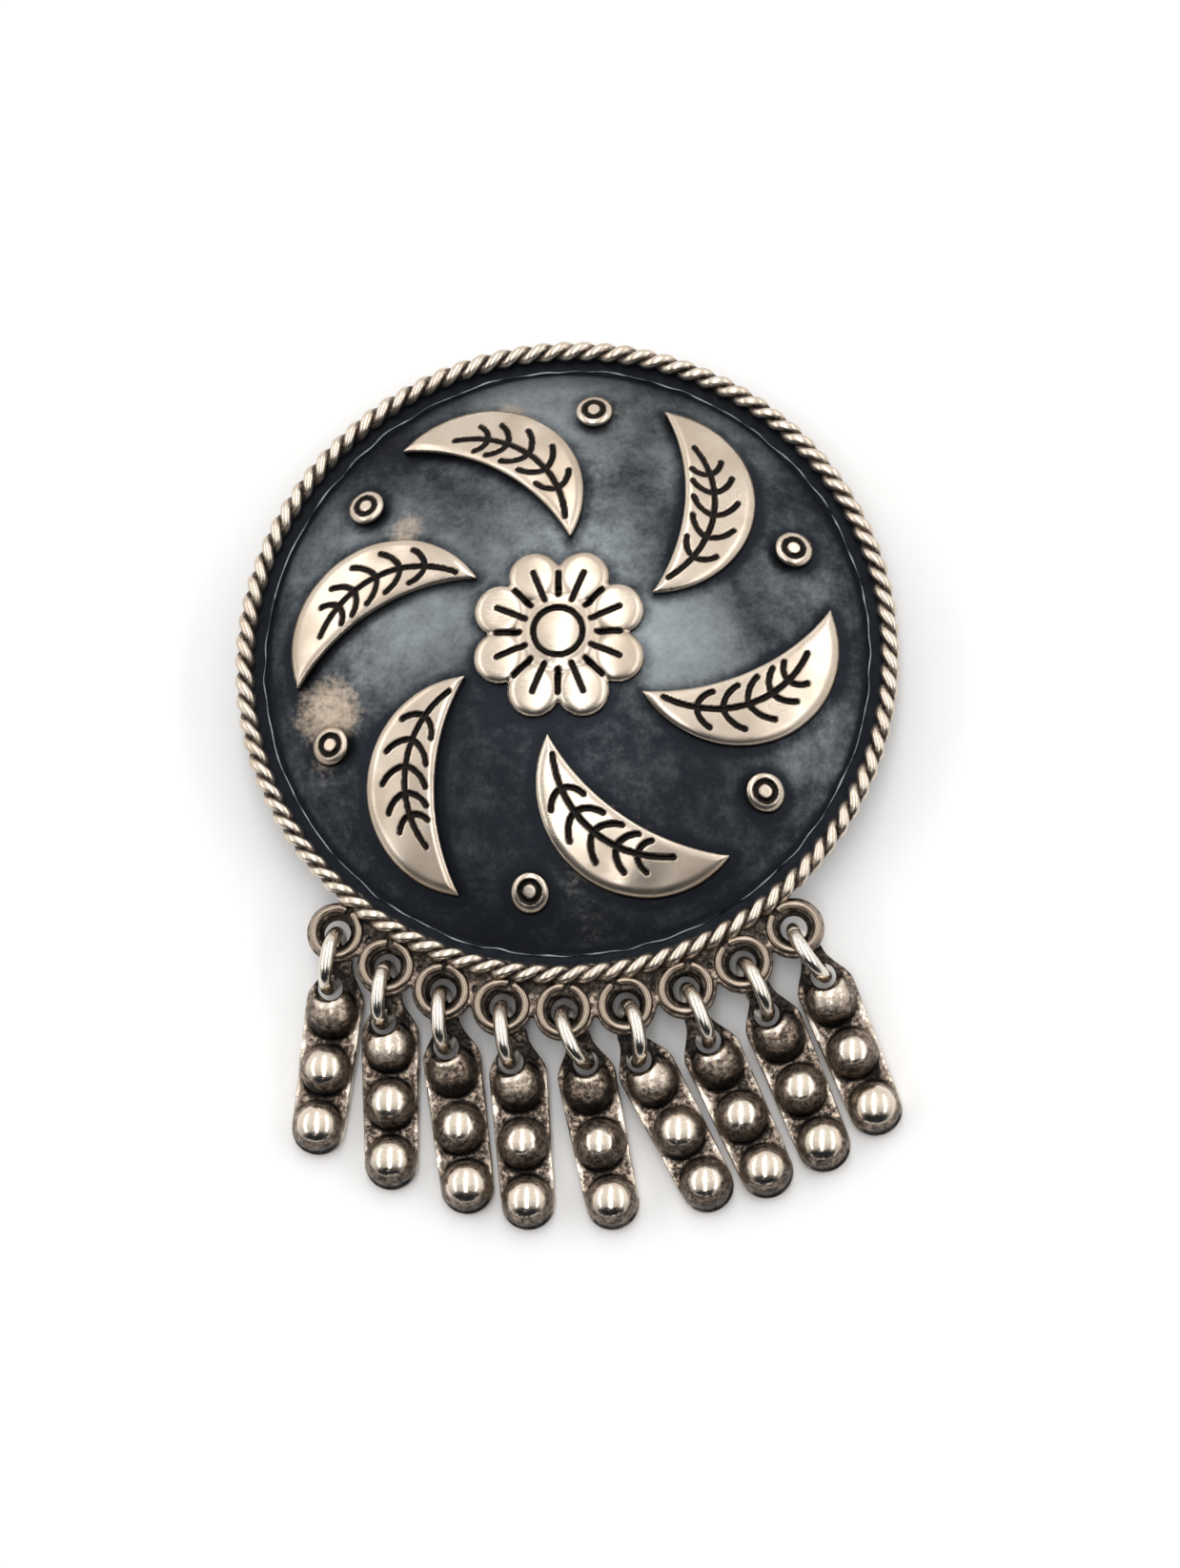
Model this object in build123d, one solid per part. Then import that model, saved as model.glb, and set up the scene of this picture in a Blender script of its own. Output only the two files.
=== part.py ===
from build123d import *
import os
from math import asin, atan2, cos, degrees, radians, sin, sqrt

# A round domed pin brooch with nine hanging drops, lying on its back.
# Millimetres. +Z is up from the table, +Y is the brooch's top edge, and the drops fan out towards -Y.
# While the pieces are made, the disc's middle is x = y = 0 and the table is z = 0. At the end
# everything moves so that the origin is under the middle of the whole brooch's box.

# Driving dimensions of the disc
rope_outer_d = 56.0
rope_d = 1.7
rope_sunk = 0.1
channel_width = 0.9
dome_rise = 7.0
dome_sheet = 0.9
flange_sheet = 0.9
flange_inset = 0.4
flange_lift = 2.8

# Driving dimensions of the raised leaf rosette on the dome
relief_rise = 1.1
relief_root = 0.3
groove_depth = 0.35
groove_width = 0.45
leaf_count = 6
petal_count = 8

# Driving dimensions of the eyelets along the lower edge
eyelet_count = 9
eyelet_pitch = 5.1
eyelet_reach = 2.0
eyelet_d = 4.6
eyelet_wire = 0.7
eyelet_sunk = 0.08
eyelet_slit = 0.25
eyelet_hole_play = 1.0
tab_margin = 0.2
web_width = 1.2

# Driving dimensions of the jump rings
ring_inner_d = 3.44
ring_wire = 1.2

# Driving dimensions of the drops
drop_sheet = 1.0
drop_top_width = 2.0
drop_width = 4.8
drop_end_width = 4.4
drop_lip = 3.1
drop_hole_play = 0.9
drop_scoop_margin = 0.3
drop_flare_margin = 0.35
drop_flare_depth = 0.5
drop_lift = 1.42
shoulder_length = 3.2
ball_count = 3
ball_d = 4.2
ball_rise = 2.1
ball_sunk = 0.2
ball_first = 2.1
ball_pitch = 4.67
ball_margin = 0.25

# Driving dimensions of the pin on the back
pin_gap = 0.05
pin_bar_y = 13.0
pin_bar_width = 3.0
pin_bar_sheet = 0.8
pin_bar_inset = 0.5
pin_post_length = 4.0
pin_stem_d = 1.0
pin_stem_gap = 0.15
pin_point_length = 3.0
pin_point_d = 0.25
catch_length = 2.4
catch_inset = 1.5

# How the jump rings and the drops lie, from the left to the right. The ring is turned from straight
# down the page, plus towards +X, and its top leans, plus towards +X; the drop is turned
# the same way. Those three are degrees. The ring passes its hole off the hole's middle by hole_play,
# and the hole is drilled off the drop's middle line by hole_side, both in millimetres.
LIE = [
    {"ring": -10.0, "lean": -3.0, "drop": -7.2, "hole_side": -0.55, "hole_play": 0.12},
    {"ring": -6.5, "lean": -6.0, "drop": 1.0, "hole_side": -0.53, "hole_play": 0.12},
    {"ring": 1.0, "lean": -6.0, "drop": 7.2, "hole_side": -0.36, "hole_play": 0.12},
    {"ring": 6.7, "lean": -4.5, "drop": 4.5, "hole_side": -0.53, "hole_play": 0.12},
    {"ring": 20.3, "lean": -14.0, "drop": 11.4, "hole_side": 0.15, "hole_play": 0.2},
    {"ring": 15.6, "lean": 14.5, "drop": 27.3, "hole_side": -0.2, "hole_play": -0.2},
    {"ring": 24.5, "lean": 7.0, "drop": 24.2, "hole_side": 0.1, "hole_play": -0.1},
    {"ring": 27.0, "lean": 8.0, "drop": 21.8, "hole_side": -0.22, "hole_play": -0.12},
    {"ring": 29.4, "lean": -13.0, "drop": 21.6, "hole_side": 0.17, "hole_play": 0.2},
]

# The rosette's outlines: distance from the disc's middle as a share of the dome's radius, and
# the angle in degrees from the motif's own start.
LEAF = {
    "base": (0.33, -6.0),
    "outer": (0.655, -3.0),
    "inner": (0.575, 16.0),
    "tip": (0.885, 38.0),
}
VEIN = {
    "base": (0.40, -2.5),
    "middle": (0.612, 7.0),
    "tip": (0.80, 27.0),
}
BERRY = {"place": (0.825, -7.0), "radius": 0.062}
FLOWER = {"petal_place": 0.205, "petal_radius": 0.085, "heart_radius": 0.135, "ring_radius": 0.08}
rosette_start = 90.0

# Sizes that follow
rope_r = rope_outer_d / 2 - rope_d / 2
flange_r = rope_outer_d / 2 - flange_inset
flange_top = flange_lift + flange_sheet
dome_r = rope_outer_d / 2 - rope_d - channel_width
dome_top = flange_top + dome_rise
dome_ball_r = (dome_r**2 + dome_rise**2) / (2 * dome_rise)
dome_ball_z = dome_top - dome_ball_r
eyelet_circle_r = rope_outer_d / 2 + eyelet_reach
eyelet_step = degrees(2 * asin(eyelet_pitch / 2 / eyelet_circle_r))
tab_r = eyelet_d / 2 + tab_margin
eyelet_hole_d = ring_wire + eyelet_hole_play
ring_r = (ring_inner_d + ring_wire) / 2
ring_z = ring_r + ring_wire / 2
drop_tail = ball_first + ball_pitch * (ball_count - 1) + ball_d / 2 + ball_margin
drop_tilt = degrees(asin(drop_lift / drop_tail))
drop_hole_d = ring_wire + drop_hole_play
drop_scoop_d = drop_hole_d + 2 * drop_scoop_margin
drop_flare_d = drop_hole_d + 2 * drop_flare_margin
drop_hole_z = drop_lift + drop_sheet / 2
drop_hole_reach = ring_r + sqrt(ring_r**2 - (ring_z - drop_hole_z) ** 2)


def polar(share, angle):
    """A point of the rosette, from its share of the dome's radius and its angle."""
    turn = radians(angle)
    return Vector(share * dome_r * cos(turn), share * dome_r * sin(turn))


def dome_layer(solid, low, high):
    """What a tall solid keeps between two heights over the dome's outer skin."""
    centre = Pos(0, 0, dome_ball_z)
    return (solid & (centre * Sphere(dome_ball_r + high))) - (centre * Sphere(dome_ball_r + low))


def dished_sheet():
    """The dome and its flat flange, one sheet turned about the disc's middle."""
    inner_ball_r = dome_ball_r - dome_sheet
    inner_r = sqrt(inner_ball_r**2 - (flange_lift - dome_ball_z) ** 2)
    half_turn_outer = asin(dome_r / dome_ball_r) / 2
    half_turn_inner = asin(inner_r / inner_ball_r) / 2
    outer_middle = (dome_ball_r * sin(half_turn_outer), dome_ball_z + dome_ball_r * cos(half_turn_outer))
    inner_middle = (inner_ball_r * sin(half_turn_inner), dome_ball_z + inner_ball_r * cos(half_turn_inner))
    outline = [
        Line((inner_r, flange_lift), (flange_r, flange_lift)),
        Line((flange_r, flange_lift), (flange_r, flange_top)),
        Line((flange_r, flange_top), (dome_r, flange_top)),
        ThreePointArc((dome_r, flange_top), outer_middle, (0, dome_top)),
        Line((0, dome_top), (0, dome_top - dome_sheet)),
        ThreePointArc((0, dome_top - dome_sheet), inner_middle, (inner_r, flange_lift)),
    ]
    return revolve(Plane.XZ * make_face(outline), Axis.Z)


def leaf(start):
    """One curved leaf of the rosette, between two arcs."""
    base, outer, inner, tip = (polar(share, start + angle) for share, angle in LEAF.values())
    return make_face([ThreePointArc(base, outer, tip), ThreePointArc(tip, inner, base)])


def vein(start):
    """The engraved line along one leaf, a slim lens."""
    base, middle, tip = (polar(share, start + angle) for share, angle in VEIN.values())
    across = (tip - base).rotate(Axis.Z, 90).normalized() * (groove_width / 2)
    return make_face([
        ThreePointArc(base, middle + across, tip),
        ThreePointArc(tip, middle - across, base),
    ])


def thin_ring(radius, width):
    """A flat ring, given its middle radius and its width."""
    return Circle(radius + width / 2) - Circle(radius - width / 2)


def rosette():
    """The raised leaves, berries and flower, with their engraved lines."""
    heart = Circle(FLOWER["heart_radius"] * dome_r)
    petals = [
        Location(polar(FLOWER["petal_place"], rosette_start + 360 / petal_count * (number + 0.5)))
        * Circle(FLOWER["petal_radius"] * dome_r)
        for number in range(petal_count)
    ]
    flats = [heart + petals]
    grooves = [thin_ring(FLOWER["ring_radius"] * dome_r, groove_width)]
    berry_r = BERRY["radius"] * dome_r
    for number in range(leaf_count):
        start = rosette_start + 360 / leaf_count * number
        share, angle = BERRY["place"]
        berry = Location(polar(share, start + angle))
        flats += [leaf(start), berry * Circle(berry_r)]
        grooves += [vein(start), berry * thin_ring(berry_r / 2, groove_width)]
    height = dome_top + 2 * relief_rise
    solids = []
    for flat in flats:
        solids.append(dome_layer(extrude(flat, height), -relief_root, relief_rise))
    cuts = []
    for groove in grooves:
        cuts.append(dome_layer(extrude(groove, height), relief_rise - groove_depth, 2 * relief_rise))
    return Part() + solids - cuts


def eyelet_frame(number):
    """Where an eyelet's middle is, on the flange's top, with local -Y pointing outwards."""
    angle = (number - (eyelet_count - 1) / 2) * eyelet_step
    return Rot(0, 0, angle) * Pos(0, -eyelet_circle_r, flange_top)


def eyelet_plate():
    """The flange's lower edge, drawn out into tabs with a hole in each."""
    spread = eyelet_step * (eyelet_count - 1) + eyelet_step / 2
    web_r = flange_r + web_width
    ends = [-90 - spread / 2, -90, -90 + spread / 2]
    corners = [Vector(web_r * cos(radians(end)), web_r * sin(radians(end))) for end in ends]
    sector = make_face([
        Line((0, 0), corners[0]),
        ThreePointArc(*corners),
        Line(corners[2], (0, 0)),
    ])
    plate = sector - Circle(dome_r)
    tabs = []
    holes = []
    for number in range(eyelet_count):
        place = Pos(0, 0, -flange_top) * eyelet_frame(number)
        tabs.append(place * Circle(tab_r))
        holes.append(place * Circle(eyelet_hole_d / 2))
    flat = plate + tabs - holes
    return Pos(0, 0, flange_lift) * extrude(flat, flange_sheet)


def eyelet(number):
    """A ring of round wire soldered on its tab, split on the side towards the dome."""
    wire_z = eyelet_wire / 2 - eyelet_sunk
    wire = Pos(0, 0, wire_z) * Torus((eyelet_d - eyelet_wire) / 2, eyelet_wire / 2)
    slit = Pos(0, eyelet_d / 2, wire_z + eyelet_wire / 2) * Box(eyelet_slit, 3 * eyelet_wire, eyelet_wire)
    return eyelet_frame(number) * (wire - slit)


def disc():
    """The domed disc with its flange, rope border, rosette and eyelets, soldered into one."""
    rope = Pos(0, 0, flange_top + rope_d / 2 - rope_sunk) * Torus(rope_r, rope_d / 2)
    eyelets = [eyelet(number) for number in range(eyelet_count)]
    return dished_sheet() + eyelet_plate() + rosette() + rope + eyelets


def hang_frame(number):
    """An eyelet's middle on the table, unturned, where its jump ring and drop are laid out."""
    middle = eyelet_frame(number).position
    return Pos(middle.X, middle.Y, 0)


def jump_ring(number):
    """A closed ring on edge through its eyelet, leaning about the line between its two holes."""
    lie = LIE[number]
    upright = Pos(0, -ring_r, ring_z) * Rot(0, 90, 0) * Torus(ring_r, ring_wire / 2)
    slope = degrees(atan2(ring_z - drop_hole_z, drop_hole_reach))
    level = Rot(slope, 0, 0) * Pos(0, 0, -ring_z)
    leaning = level.inverse() * Rot(0, lie["lean"], 0) * level * upright
    return hang_frame(number) * Rot(0, 0, lie["ring"]) * leaning


def drop_outline():
    """A drop seen from above: a narrow round top, sloping shoulders and a long, slightly tapered body."""
    top_x = drop_top_width / 2
    body_x = drop_width / 2
    end_x = drop_end_width / 2
    top_y = drop_lip - top_x
    body_y = top_y - shoulder_length
    end_y = end_x - drop_tail
    bend = ((top_x + body_x) / 2, (top_y + body_y) / 2)
    side = [
        TangentArc((top_x, top_y), bend, tangent=(0, -1)),
        TangentArc((body_x, body_y), bend, tangent=(0, 1)),
        Line((body_x, body_y), (end_x, end_y)),
    ]
    other = [edge.mirror(Plane.YZ) for edge in side]
    top = ThreePointArc((-top_x, top_y), (0, drop_lip), (top_x, top_y))
    end = ThreePointArc((-end_x, end_y), (0, -drop_tail), (end_x, end_y))
    return make_face([top, *side, end, *other])


def ball():
    """A half ball, standing on z = 0 with its root below."""
    ball_r = ((ball_d / 2) ** 2 + ball_rise**2) / (2 * ball_rise)
    whole = Pos(0, 0, ball_rise - ball_r) * Sphere(ball_r)
    keep = Pos(0, 0, (ball_rise - ball_sunk) / 2) * Cylinder(ball_r, ball_rise + ball_sunk)
    return whole & keep


def drop(number):
    """A drop with its row of half balls, its hole round the jump ring and its far end on the table."""
    bar = Pos(0, 0, -drop_sheet / 2) * extrude(drop_outline(), drop_sheet)
    for place in range(ball_count):
        bar += Pos(0, -ball_first - place * ball_pitch, drop_sheet / 2) * ball()
    lie = LIE[number]
    scoop = Pos(0, 0, drop_sheet / 2 + ball_rise) * Cylinder(drop_scoop_d / 2, 2 * ball_rise)
    drill = Cylinder(drop_hole_d / 2, 2 * drop_sheet)
    flare_z = (drop_flare_depth - drop_sheet) / 2
    flare = Pos(0, 0, flare_z) * Cone(drop_flare_d / 2, drop_hole_d / 2, drop_flare_depth)
    bar = Pos(-lie["hole_side"], 0, 0) * bar - scoop - drill - flare
    lying = Rot(0, 0, lie["drop"] - lie["ring"]) * Rot(drop_tilt, 0, 0) * bar
    hole = Pos(lie["hole_play"], -drop_hole_reach, drop_hole_z)
    return hang_frame(number) * Rot(0, 0, lie["ring"]) * hole * lying


def pin_back():
    """The bar under the flange, with the hinge post, the stem and the catch that it carries."""
    bar_top = flange_lift - pin_gap
    bar_z = bar_top - pin_bar_sheet
    corner_r = flange_r - pin_bar_inset
    half = sqrt(corner_r**2 - (pin_bar_y + pin_bar_width / 2) ** 2)
    bar = Pos(0, 0, bar_z + pin_bar_sheet / 2) * Box(2 * half, pin_bar_width, pin_bar_sheet)
    post = Pos(half - pin_post_length / 2, 0, bar_top / 2) * Box(pin_post_length, pin_bar_width, bar_top)
    catch_x = catch_length / 2 + catch_inset - half
    catch = Pos(catch_x, 0, bar_top / 2) * Box(catch_length, pin_bar_width, bar_top)
    stem_z = bar_z / 2
    groove_d = pin_stem_d + 2 * pin_stem_gap
    groove = Pos(catch_x, 0, stem_z) * Rot(0, 90, 0) * Cylinder(groove_d / 2, 2 * catch_length)
    mouth = Pos(catch_x, -pin_bar_width / 2, stem_z) * Box(2 * catch_length, pin_bar_width, groove_d)
    stem_end = catch_x - catch_length / 2 - pin_stem_gap
    stem_start = half - pin_post_length / 2
    straight = stem_start - stem_end - pin_point_length
    stem = Pos(stem_start - straight / 2, 0, stem_z) * Rot(0, 90, 0) * Cylinder(pin_stem_d / 2, straight)
    point = (
        Pos(stem_end + pin_point_length / 2, 0, stem_z)
        * Rot(0, -90, 0)
        * Cone(pin_stem_d / 2, pin_point_d / 2, pin_point_length)
    )
    return Pos(0, pin_bar_y, 0) * (bar + post + (catch - groove - mouth) + stem + point)


pieces = {"disc": disc(), "pin_back": pin_back()}
for number in range(eyelet_count):
    pieces[f"jump_ring_{number + 1}"] = jump_ring(number)
    pieces[f"drop_{number + 1}"] = drop(number)

boxes = [piece.bounding_box() for piece in pieces.values()]
middle_x = (min(box.min.X for box in boxes) + max(box.max.X for box in boxes)) / 2
middle_y = (min(box.min.Y for box in boxes) + max(box.max.Y for box in boxes)) / 2
to_origin = Pos(-middle_x, -middle_y, -min(box.min.Z for box in boxes))

os.makedirs("parts", exist_ok=True)
for name, piece in pieces.items():
    placed = to_origin * piece
    export_step(placed, f"parts/{name}.step")
    print(name, len(placed.solids()), round(placed.volume, 2), placed.bounding_box())
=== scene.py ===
import math
from collections import namedtuple
from types import SimpleNamespace

import bpy
import numpy as np
from mathutils import Matrix, Vector


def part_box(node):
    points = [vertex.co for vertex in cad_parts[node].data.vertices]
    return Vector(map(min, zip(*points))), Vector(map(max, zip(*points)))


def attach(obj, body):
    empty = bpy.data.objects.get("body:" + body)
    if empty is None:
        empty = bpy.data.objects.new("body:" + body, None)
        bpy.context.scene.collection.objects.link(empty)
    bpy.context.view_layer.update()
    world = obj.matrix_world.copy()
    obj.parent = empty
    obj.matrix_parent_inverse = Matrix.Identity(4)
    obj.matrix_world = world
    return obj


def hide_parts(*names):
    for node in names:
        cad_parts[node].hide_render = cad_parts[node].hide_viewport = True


bl_info = {
    "name": "Domed silver pin brooch",
    "version": (1, 0, 0),
    "blender": (4, 5, 0),
    "location": "3D View > Sidebar > Brooch",
    "description": "A domed pin brooch with a rope border, a raised leaf rosette and nine beaded drops",
    "category": "Add Mesh",
}

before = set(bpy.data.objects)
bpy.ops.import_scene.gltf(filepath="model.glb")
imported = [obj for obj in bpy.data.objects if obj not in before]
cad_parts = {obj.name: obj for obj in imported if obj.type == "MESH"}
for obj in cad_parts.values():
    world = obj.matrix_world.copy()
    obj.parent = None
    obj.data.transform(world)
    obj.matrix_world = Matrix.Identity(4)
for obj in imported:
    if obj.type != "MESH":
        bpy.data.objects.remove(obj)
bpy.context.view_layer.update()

# Lengths in this file are millimetres, and a finished mesh is turned into metres.
MM = 0.001
disc_low, disc_high = (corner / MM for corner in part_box("disc"))
DISC_RADIUS = (disc_high.x - disc_low.x) / 2
DISC_X = (disc_high.x + disc_low.x) / 2
DISC_Y = disc_high.y - DISC_RADIUS
DROP_COUNT = sum(1 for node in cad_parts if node.startswith("drop_"))

# How the jump rings and drops lie, from the left, as in the solids: degrees that the ring is
# turned and leans and that the drop is turned, and millimetres that the hole is off the drop's
# middle and that the ring passes it off the hole's middle.
Lie = namedtuple("Lie", "ring lean drop side play")
LIES = [
    Lie(-10.0, -3.0, -7.2, -0.55, 0.12),
    Lie(-6.5, -6.0, 1.0, -0.53, 0.12),
    Lie(1.0, -6.0, 7.2, -0.36, 0.12),
    Lie(6.7, -4.5, 4.5, -0.53, 0.12),
    Lie(20.3, -14.0, 11.4, 0.15, 0.2),
    Lie(15.6, 14.5, 27.3, -0.2, -0.2),
    Lie(24.5, 7.0, 24.2, 0.1, -0.1),
    Lie(27.0, 8.0, 21.8, -0.22, -0.12),
    Lie(29.4, -13.0, 21.6, 0.17, 0.2),
]

# The rosette's outlines: distance from the disc's middle as a share of the dome's radius, and
# the angle in degrees from the motif's own start.
LEAF = {"base": (0.33, -6.0), "outer": (0.655, -3.0), "inner": (0.575, 16.0), "tip": (0.885, 38.0)}
MIDRIB = {"base": (0.40, -2.5), "middle": (0.612, 7.0), "tip": (0.80, 27.0)}
BERRY = {"place": (0.825, -7.0), "radius": 0.062}
FLOWER = {"petal_place": 0.205, "petal_radius": 0.085, "heart_radius": 0.135, "ring_radius": 0.08}
PETAL_LINE = (0.115, 0.215)
GAP_LINE = (0.125, 0.20)
ROSETTE_START = 90.0

# A leaf's side veins: the steps of the midrib that they leave from, in millimetres how far off it
# they start and their greatest reach, and where they bend and end, as shares of their reach
# across the midrib and along it.
MIDRIB_STEPS = 40
VEIN_STEPS = (8, 14, 20, 26, 31)
VEIN_START = 0.35
VEIN_REACH = 1.75
VEIN_BEND = (0.5, 0.32)
VEIN_END = (0.86, 0.85)

# Where the dome's oxide is rubbed through to brown, and where it is paler with thinner oxide and painted
# sheen of reflected light: place and reach in millimetres from the disc's middle, and how strongly.
Spot = namedtuple("Spot", "x y reach strength")
RUBBED_SPOTS = [
    Spot(-19.5, -5.0, 3.4, 0.95),
    Spot(-19.0, -9.0, 2.4, 0.5),
    Spot(-13.2, 10.1, 1.9, 0.75),
    Spot(-4.4, 20.4, 2.4, 0.62),
    Spot(3.6, 20.8, 2.0, 0.5),
    Spot(4.5, -18.4, 7.0, 0.36),
]
PALE_AND_SHEEN_SPOTS = [
    Spot(-13.0, 4.0, 9.0, 0.85),
    Spot(-2.0, 21.5, 9.0, 0.95),
    Spot(9.5, -0.5, 6.0, 1.15),
    Spot(0.0, 7.0, 9.0, 0.7),
    Spot(-20.0, 9.0, 6.0, 0.55),
    Spot(11.0, 18.0, 7.0, 0.5),
    Spot(21.0, -8.0, 5.0, 0.40),
    Spot(20.0, 5.0, 6.0, 0.35),
]

# Fine scratches: degrees that they are turned, their waves to the metre along and across, and how
# wide they are, as how far their noise may be from its middle value.
SILVER_SCRATCHES = [(24.0, 160.0, 5200.0, 0.012), (-57.0, 190.0, 6100.0, 0.009)]
DOME_SCRATCHES = [(70.0, 90.0, 4200.0, 0.012), (8.0, 110.0, 4700.0, 0.009)]

# The strip lights, all as shares of their height: how far to the side each hangs and how wide it
# is, and how long they all are and how far they hang towards the upper edge.
STRIPS = {"left_strip": (-1.30, 0.34), "middle_strip": (0.0, 0.22), "right_strip": (1.24, 0.34)}
STRIP_LENGTH = 2.3
STRIP_FORWARD = 0.25

# The skin of fused shapes: the size of its faces in millimetres and how many times it is smoothed.
RELIEF_SKIN = (0.115, 5)
TAB_SKIN = (0.15, 1)
DROP_SKIN = (0.125, 2)

# How finely shapes are divided. Steps go all the way round, or along one twist of the rope or the
# length of the web, sides go round a wire's section, and rows go from a top down to a foot.
DOME_STEPS = 360
DOME_ROWS = 104
DOME_INSIDE_ROWS = 36
SOLDER_STEPS, SOLDER_SIDES = 900, 8
TWIST_STEPS, STRAND_SIDES = 24, 12
EYELET_STEPS, EYELET_SIDES = 110, 16
RING_STEPS, RING_SIDES = 150, 18
BALL_STEPS, BALL_ROWS = 56, 26
TAB_HOLE_STEPS = 72
DROP_HOLE_STEPS = 64
WEB_STEPS = 80

# Seeds of what is uneven. In a row of like pieces, each adds its own number, from 0.
SEEDS = {
    "dome": 5,
    "dome_fine": 6,
    "eyelet_turns": 7,
    "solder_path": 11,
    "solder_path_broad": 12,
    "solder_width": 13,
    "solder_wear": 14,
    "strand": 21,
    "relief": 31,
    "tabs": 41,
    "eyelet": 100,
    "ring": 200,
    "ring_wire": 210,
    "bar_wear_and_shade": 300,
    "dents": 400,
    "fine_dents": 420,
    "ball_wear_and_shade": 500,
}


def length(name, text, millimetres, low=0.0):
    """A length property, given in millimetres."""
    return bpy.props.FloatProperty(
        name=name, description=text, default=millimetres * MM, min=low, precision=5, unit="LENGTH"
    )


def number(name, text, default, low=0.0, high=1.0):
    """A plain number property."""
    return bpy.props.FloatProperty(name=name, description=text, default=default, min=low, max=high)


def whole(name, text, default):
    """A count property."""
    return bpy.props.IntProperty(name=name, description=text, default=default, min=1)


def angle(name, text, degrees):
    """An angle property, given in degrees."""
    return bpy.props.FloatProperty(
        name=name, description=text, default=math.radians(degrees), subtype="ANGLE", unit="ROTATION"
    )


def colour(name, text, red, green, blue):
    """A colour property."""
    return bpy.props.FloatVectorProperty(
        name=name,
        description=text,
        default=(red, green, blue),
        size=3,
        min=0.0,
        max=1.0,
        subtype="COLOR",
    )


class BroochSizes(bpy.types.PropertyGroup):
    """The sizes of the brooch's pieces."""

    disc_radius: length("Disc radius", "From the disc's middle to the outside of the rope", DISC_RADIUS)
    flange_lift: length("Flange lift", "Height of the flange's underside", disc_low.z)
    flange_sheet: length("Flange sheet", "Thickness of the flat flange", 0.9)
    flange_inset: length("Flange inset", "How far the flange stays inside the rope's outline", 0.4)
    dome_radius: length("Dome radius", "Radius of the domed part of the disc", 25.4)
    dome_sheet: length("Dome sheet", "Thickness of the domed sheet", 0.9)
    dome_unevenness: length("Dome unevenness", "How far the hammered dome strays from a true ball", 0.035)
    relief_rise: length("Relief rise", "How far the rosette stands out of the dome", 1.1)
    relief_root: length("Relief root", "How deep the rosette is seated in the dome", 0.3)
    groove_depth: length("Engraving depth", "Depth of the engraved lines", 0.3)
    groove_width: length("Engraving width", "Width of the engraved lines", 0.42)
    rope_width: length("Rope width", "Diameter round both strands of the rope border", 1.7)
    rope_sunk: length("Rope seat", "How far the rope sinks into its solder", 0.1)
    solder_width: length("Solder line width", "Width of the solder line round the dome's foot", 0.2)
    eyelet_width: length("Eyelet width", "Outside diameter of an eyelet's wire", 4.6)
    eyelet_wire: length("Eyelet wire", "Diameter of an eyelet's wire", 0.7)
    eyelet_hole: length("Eyelet hole", "Diameter of the hole in an eyelet's tab", 2.2)
    eyelet_pitch: length("Eyelet pitch", "Distance between neighbouring eyelets", 5.1)
    tab_margin: length("Tab margin", "How far a tab reaches past its eyelet's wire", 0.2)
    web_width: length("Web width", "How far the sheet between two tabs reaches past the flange", 1.2)
    ring_inner: length("Jump ring inside", "Inside diameter of a jump ring", 3.44)
    ring_wire: length("Jump ring wire", "Diameter of a jump ring's wire", 1.2)
    drop_sheet: length("Drop sheet", "Thickness of a drop's bar", 1.0)
    drop_top: length("Drop top", "Width of a drop's round top", 2.0)
    drop_width: length("Drop width", "Width of a drop's shoulders", 4.8)
    drop_end: length("Drop end", "Width of a drop's round end", 4.4)
    drop_lip: length("Drop lip", "From the hole's middle to the drop's upper end", 3.1)
    drop_hole: length("Drop hole", "Diameter of the hole in a drop", 2.1)
    drop_scoop: length("Drop scoop", "Width of the scoop round the hole", 2.7)
    drop_flare: length("Drop flare", "Width of the hole at a drop's underside", 2.8)
    drop_lift: length("Drop lift", "Height of a drop's underside at its hole", 1.42)
    shoulder_length: length("Shoulder length", "Length of a drop's shoulders", 3.2)
    ball_width: length("Ball width", "Diameter of a half ball", 4.2)
    ball_rise: length("Ball rise", "How far a half ball stands out of its bar", 2.1)
    ball_first: length("First ball", "From the hole's middle to the first ball's", 2.1)
    ball_pitch: length("Ball pitch", "Distance between a drop's balls", 4.67)
    ball_margin: length("Ball margin", "From the last ball to the drop's end", 0.25)
    leaf_count: whole("Leaves", "How many leaves the rosette has", 6)
    petal_count: whole("Petals", "How many petals the flower has", 8)
    ball_count: whole("Balls", "How many half balls a drop has", 3)
    rope_turns: whole("Rope turns", "How many times the rope's strands go round each other", 48)


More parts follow.
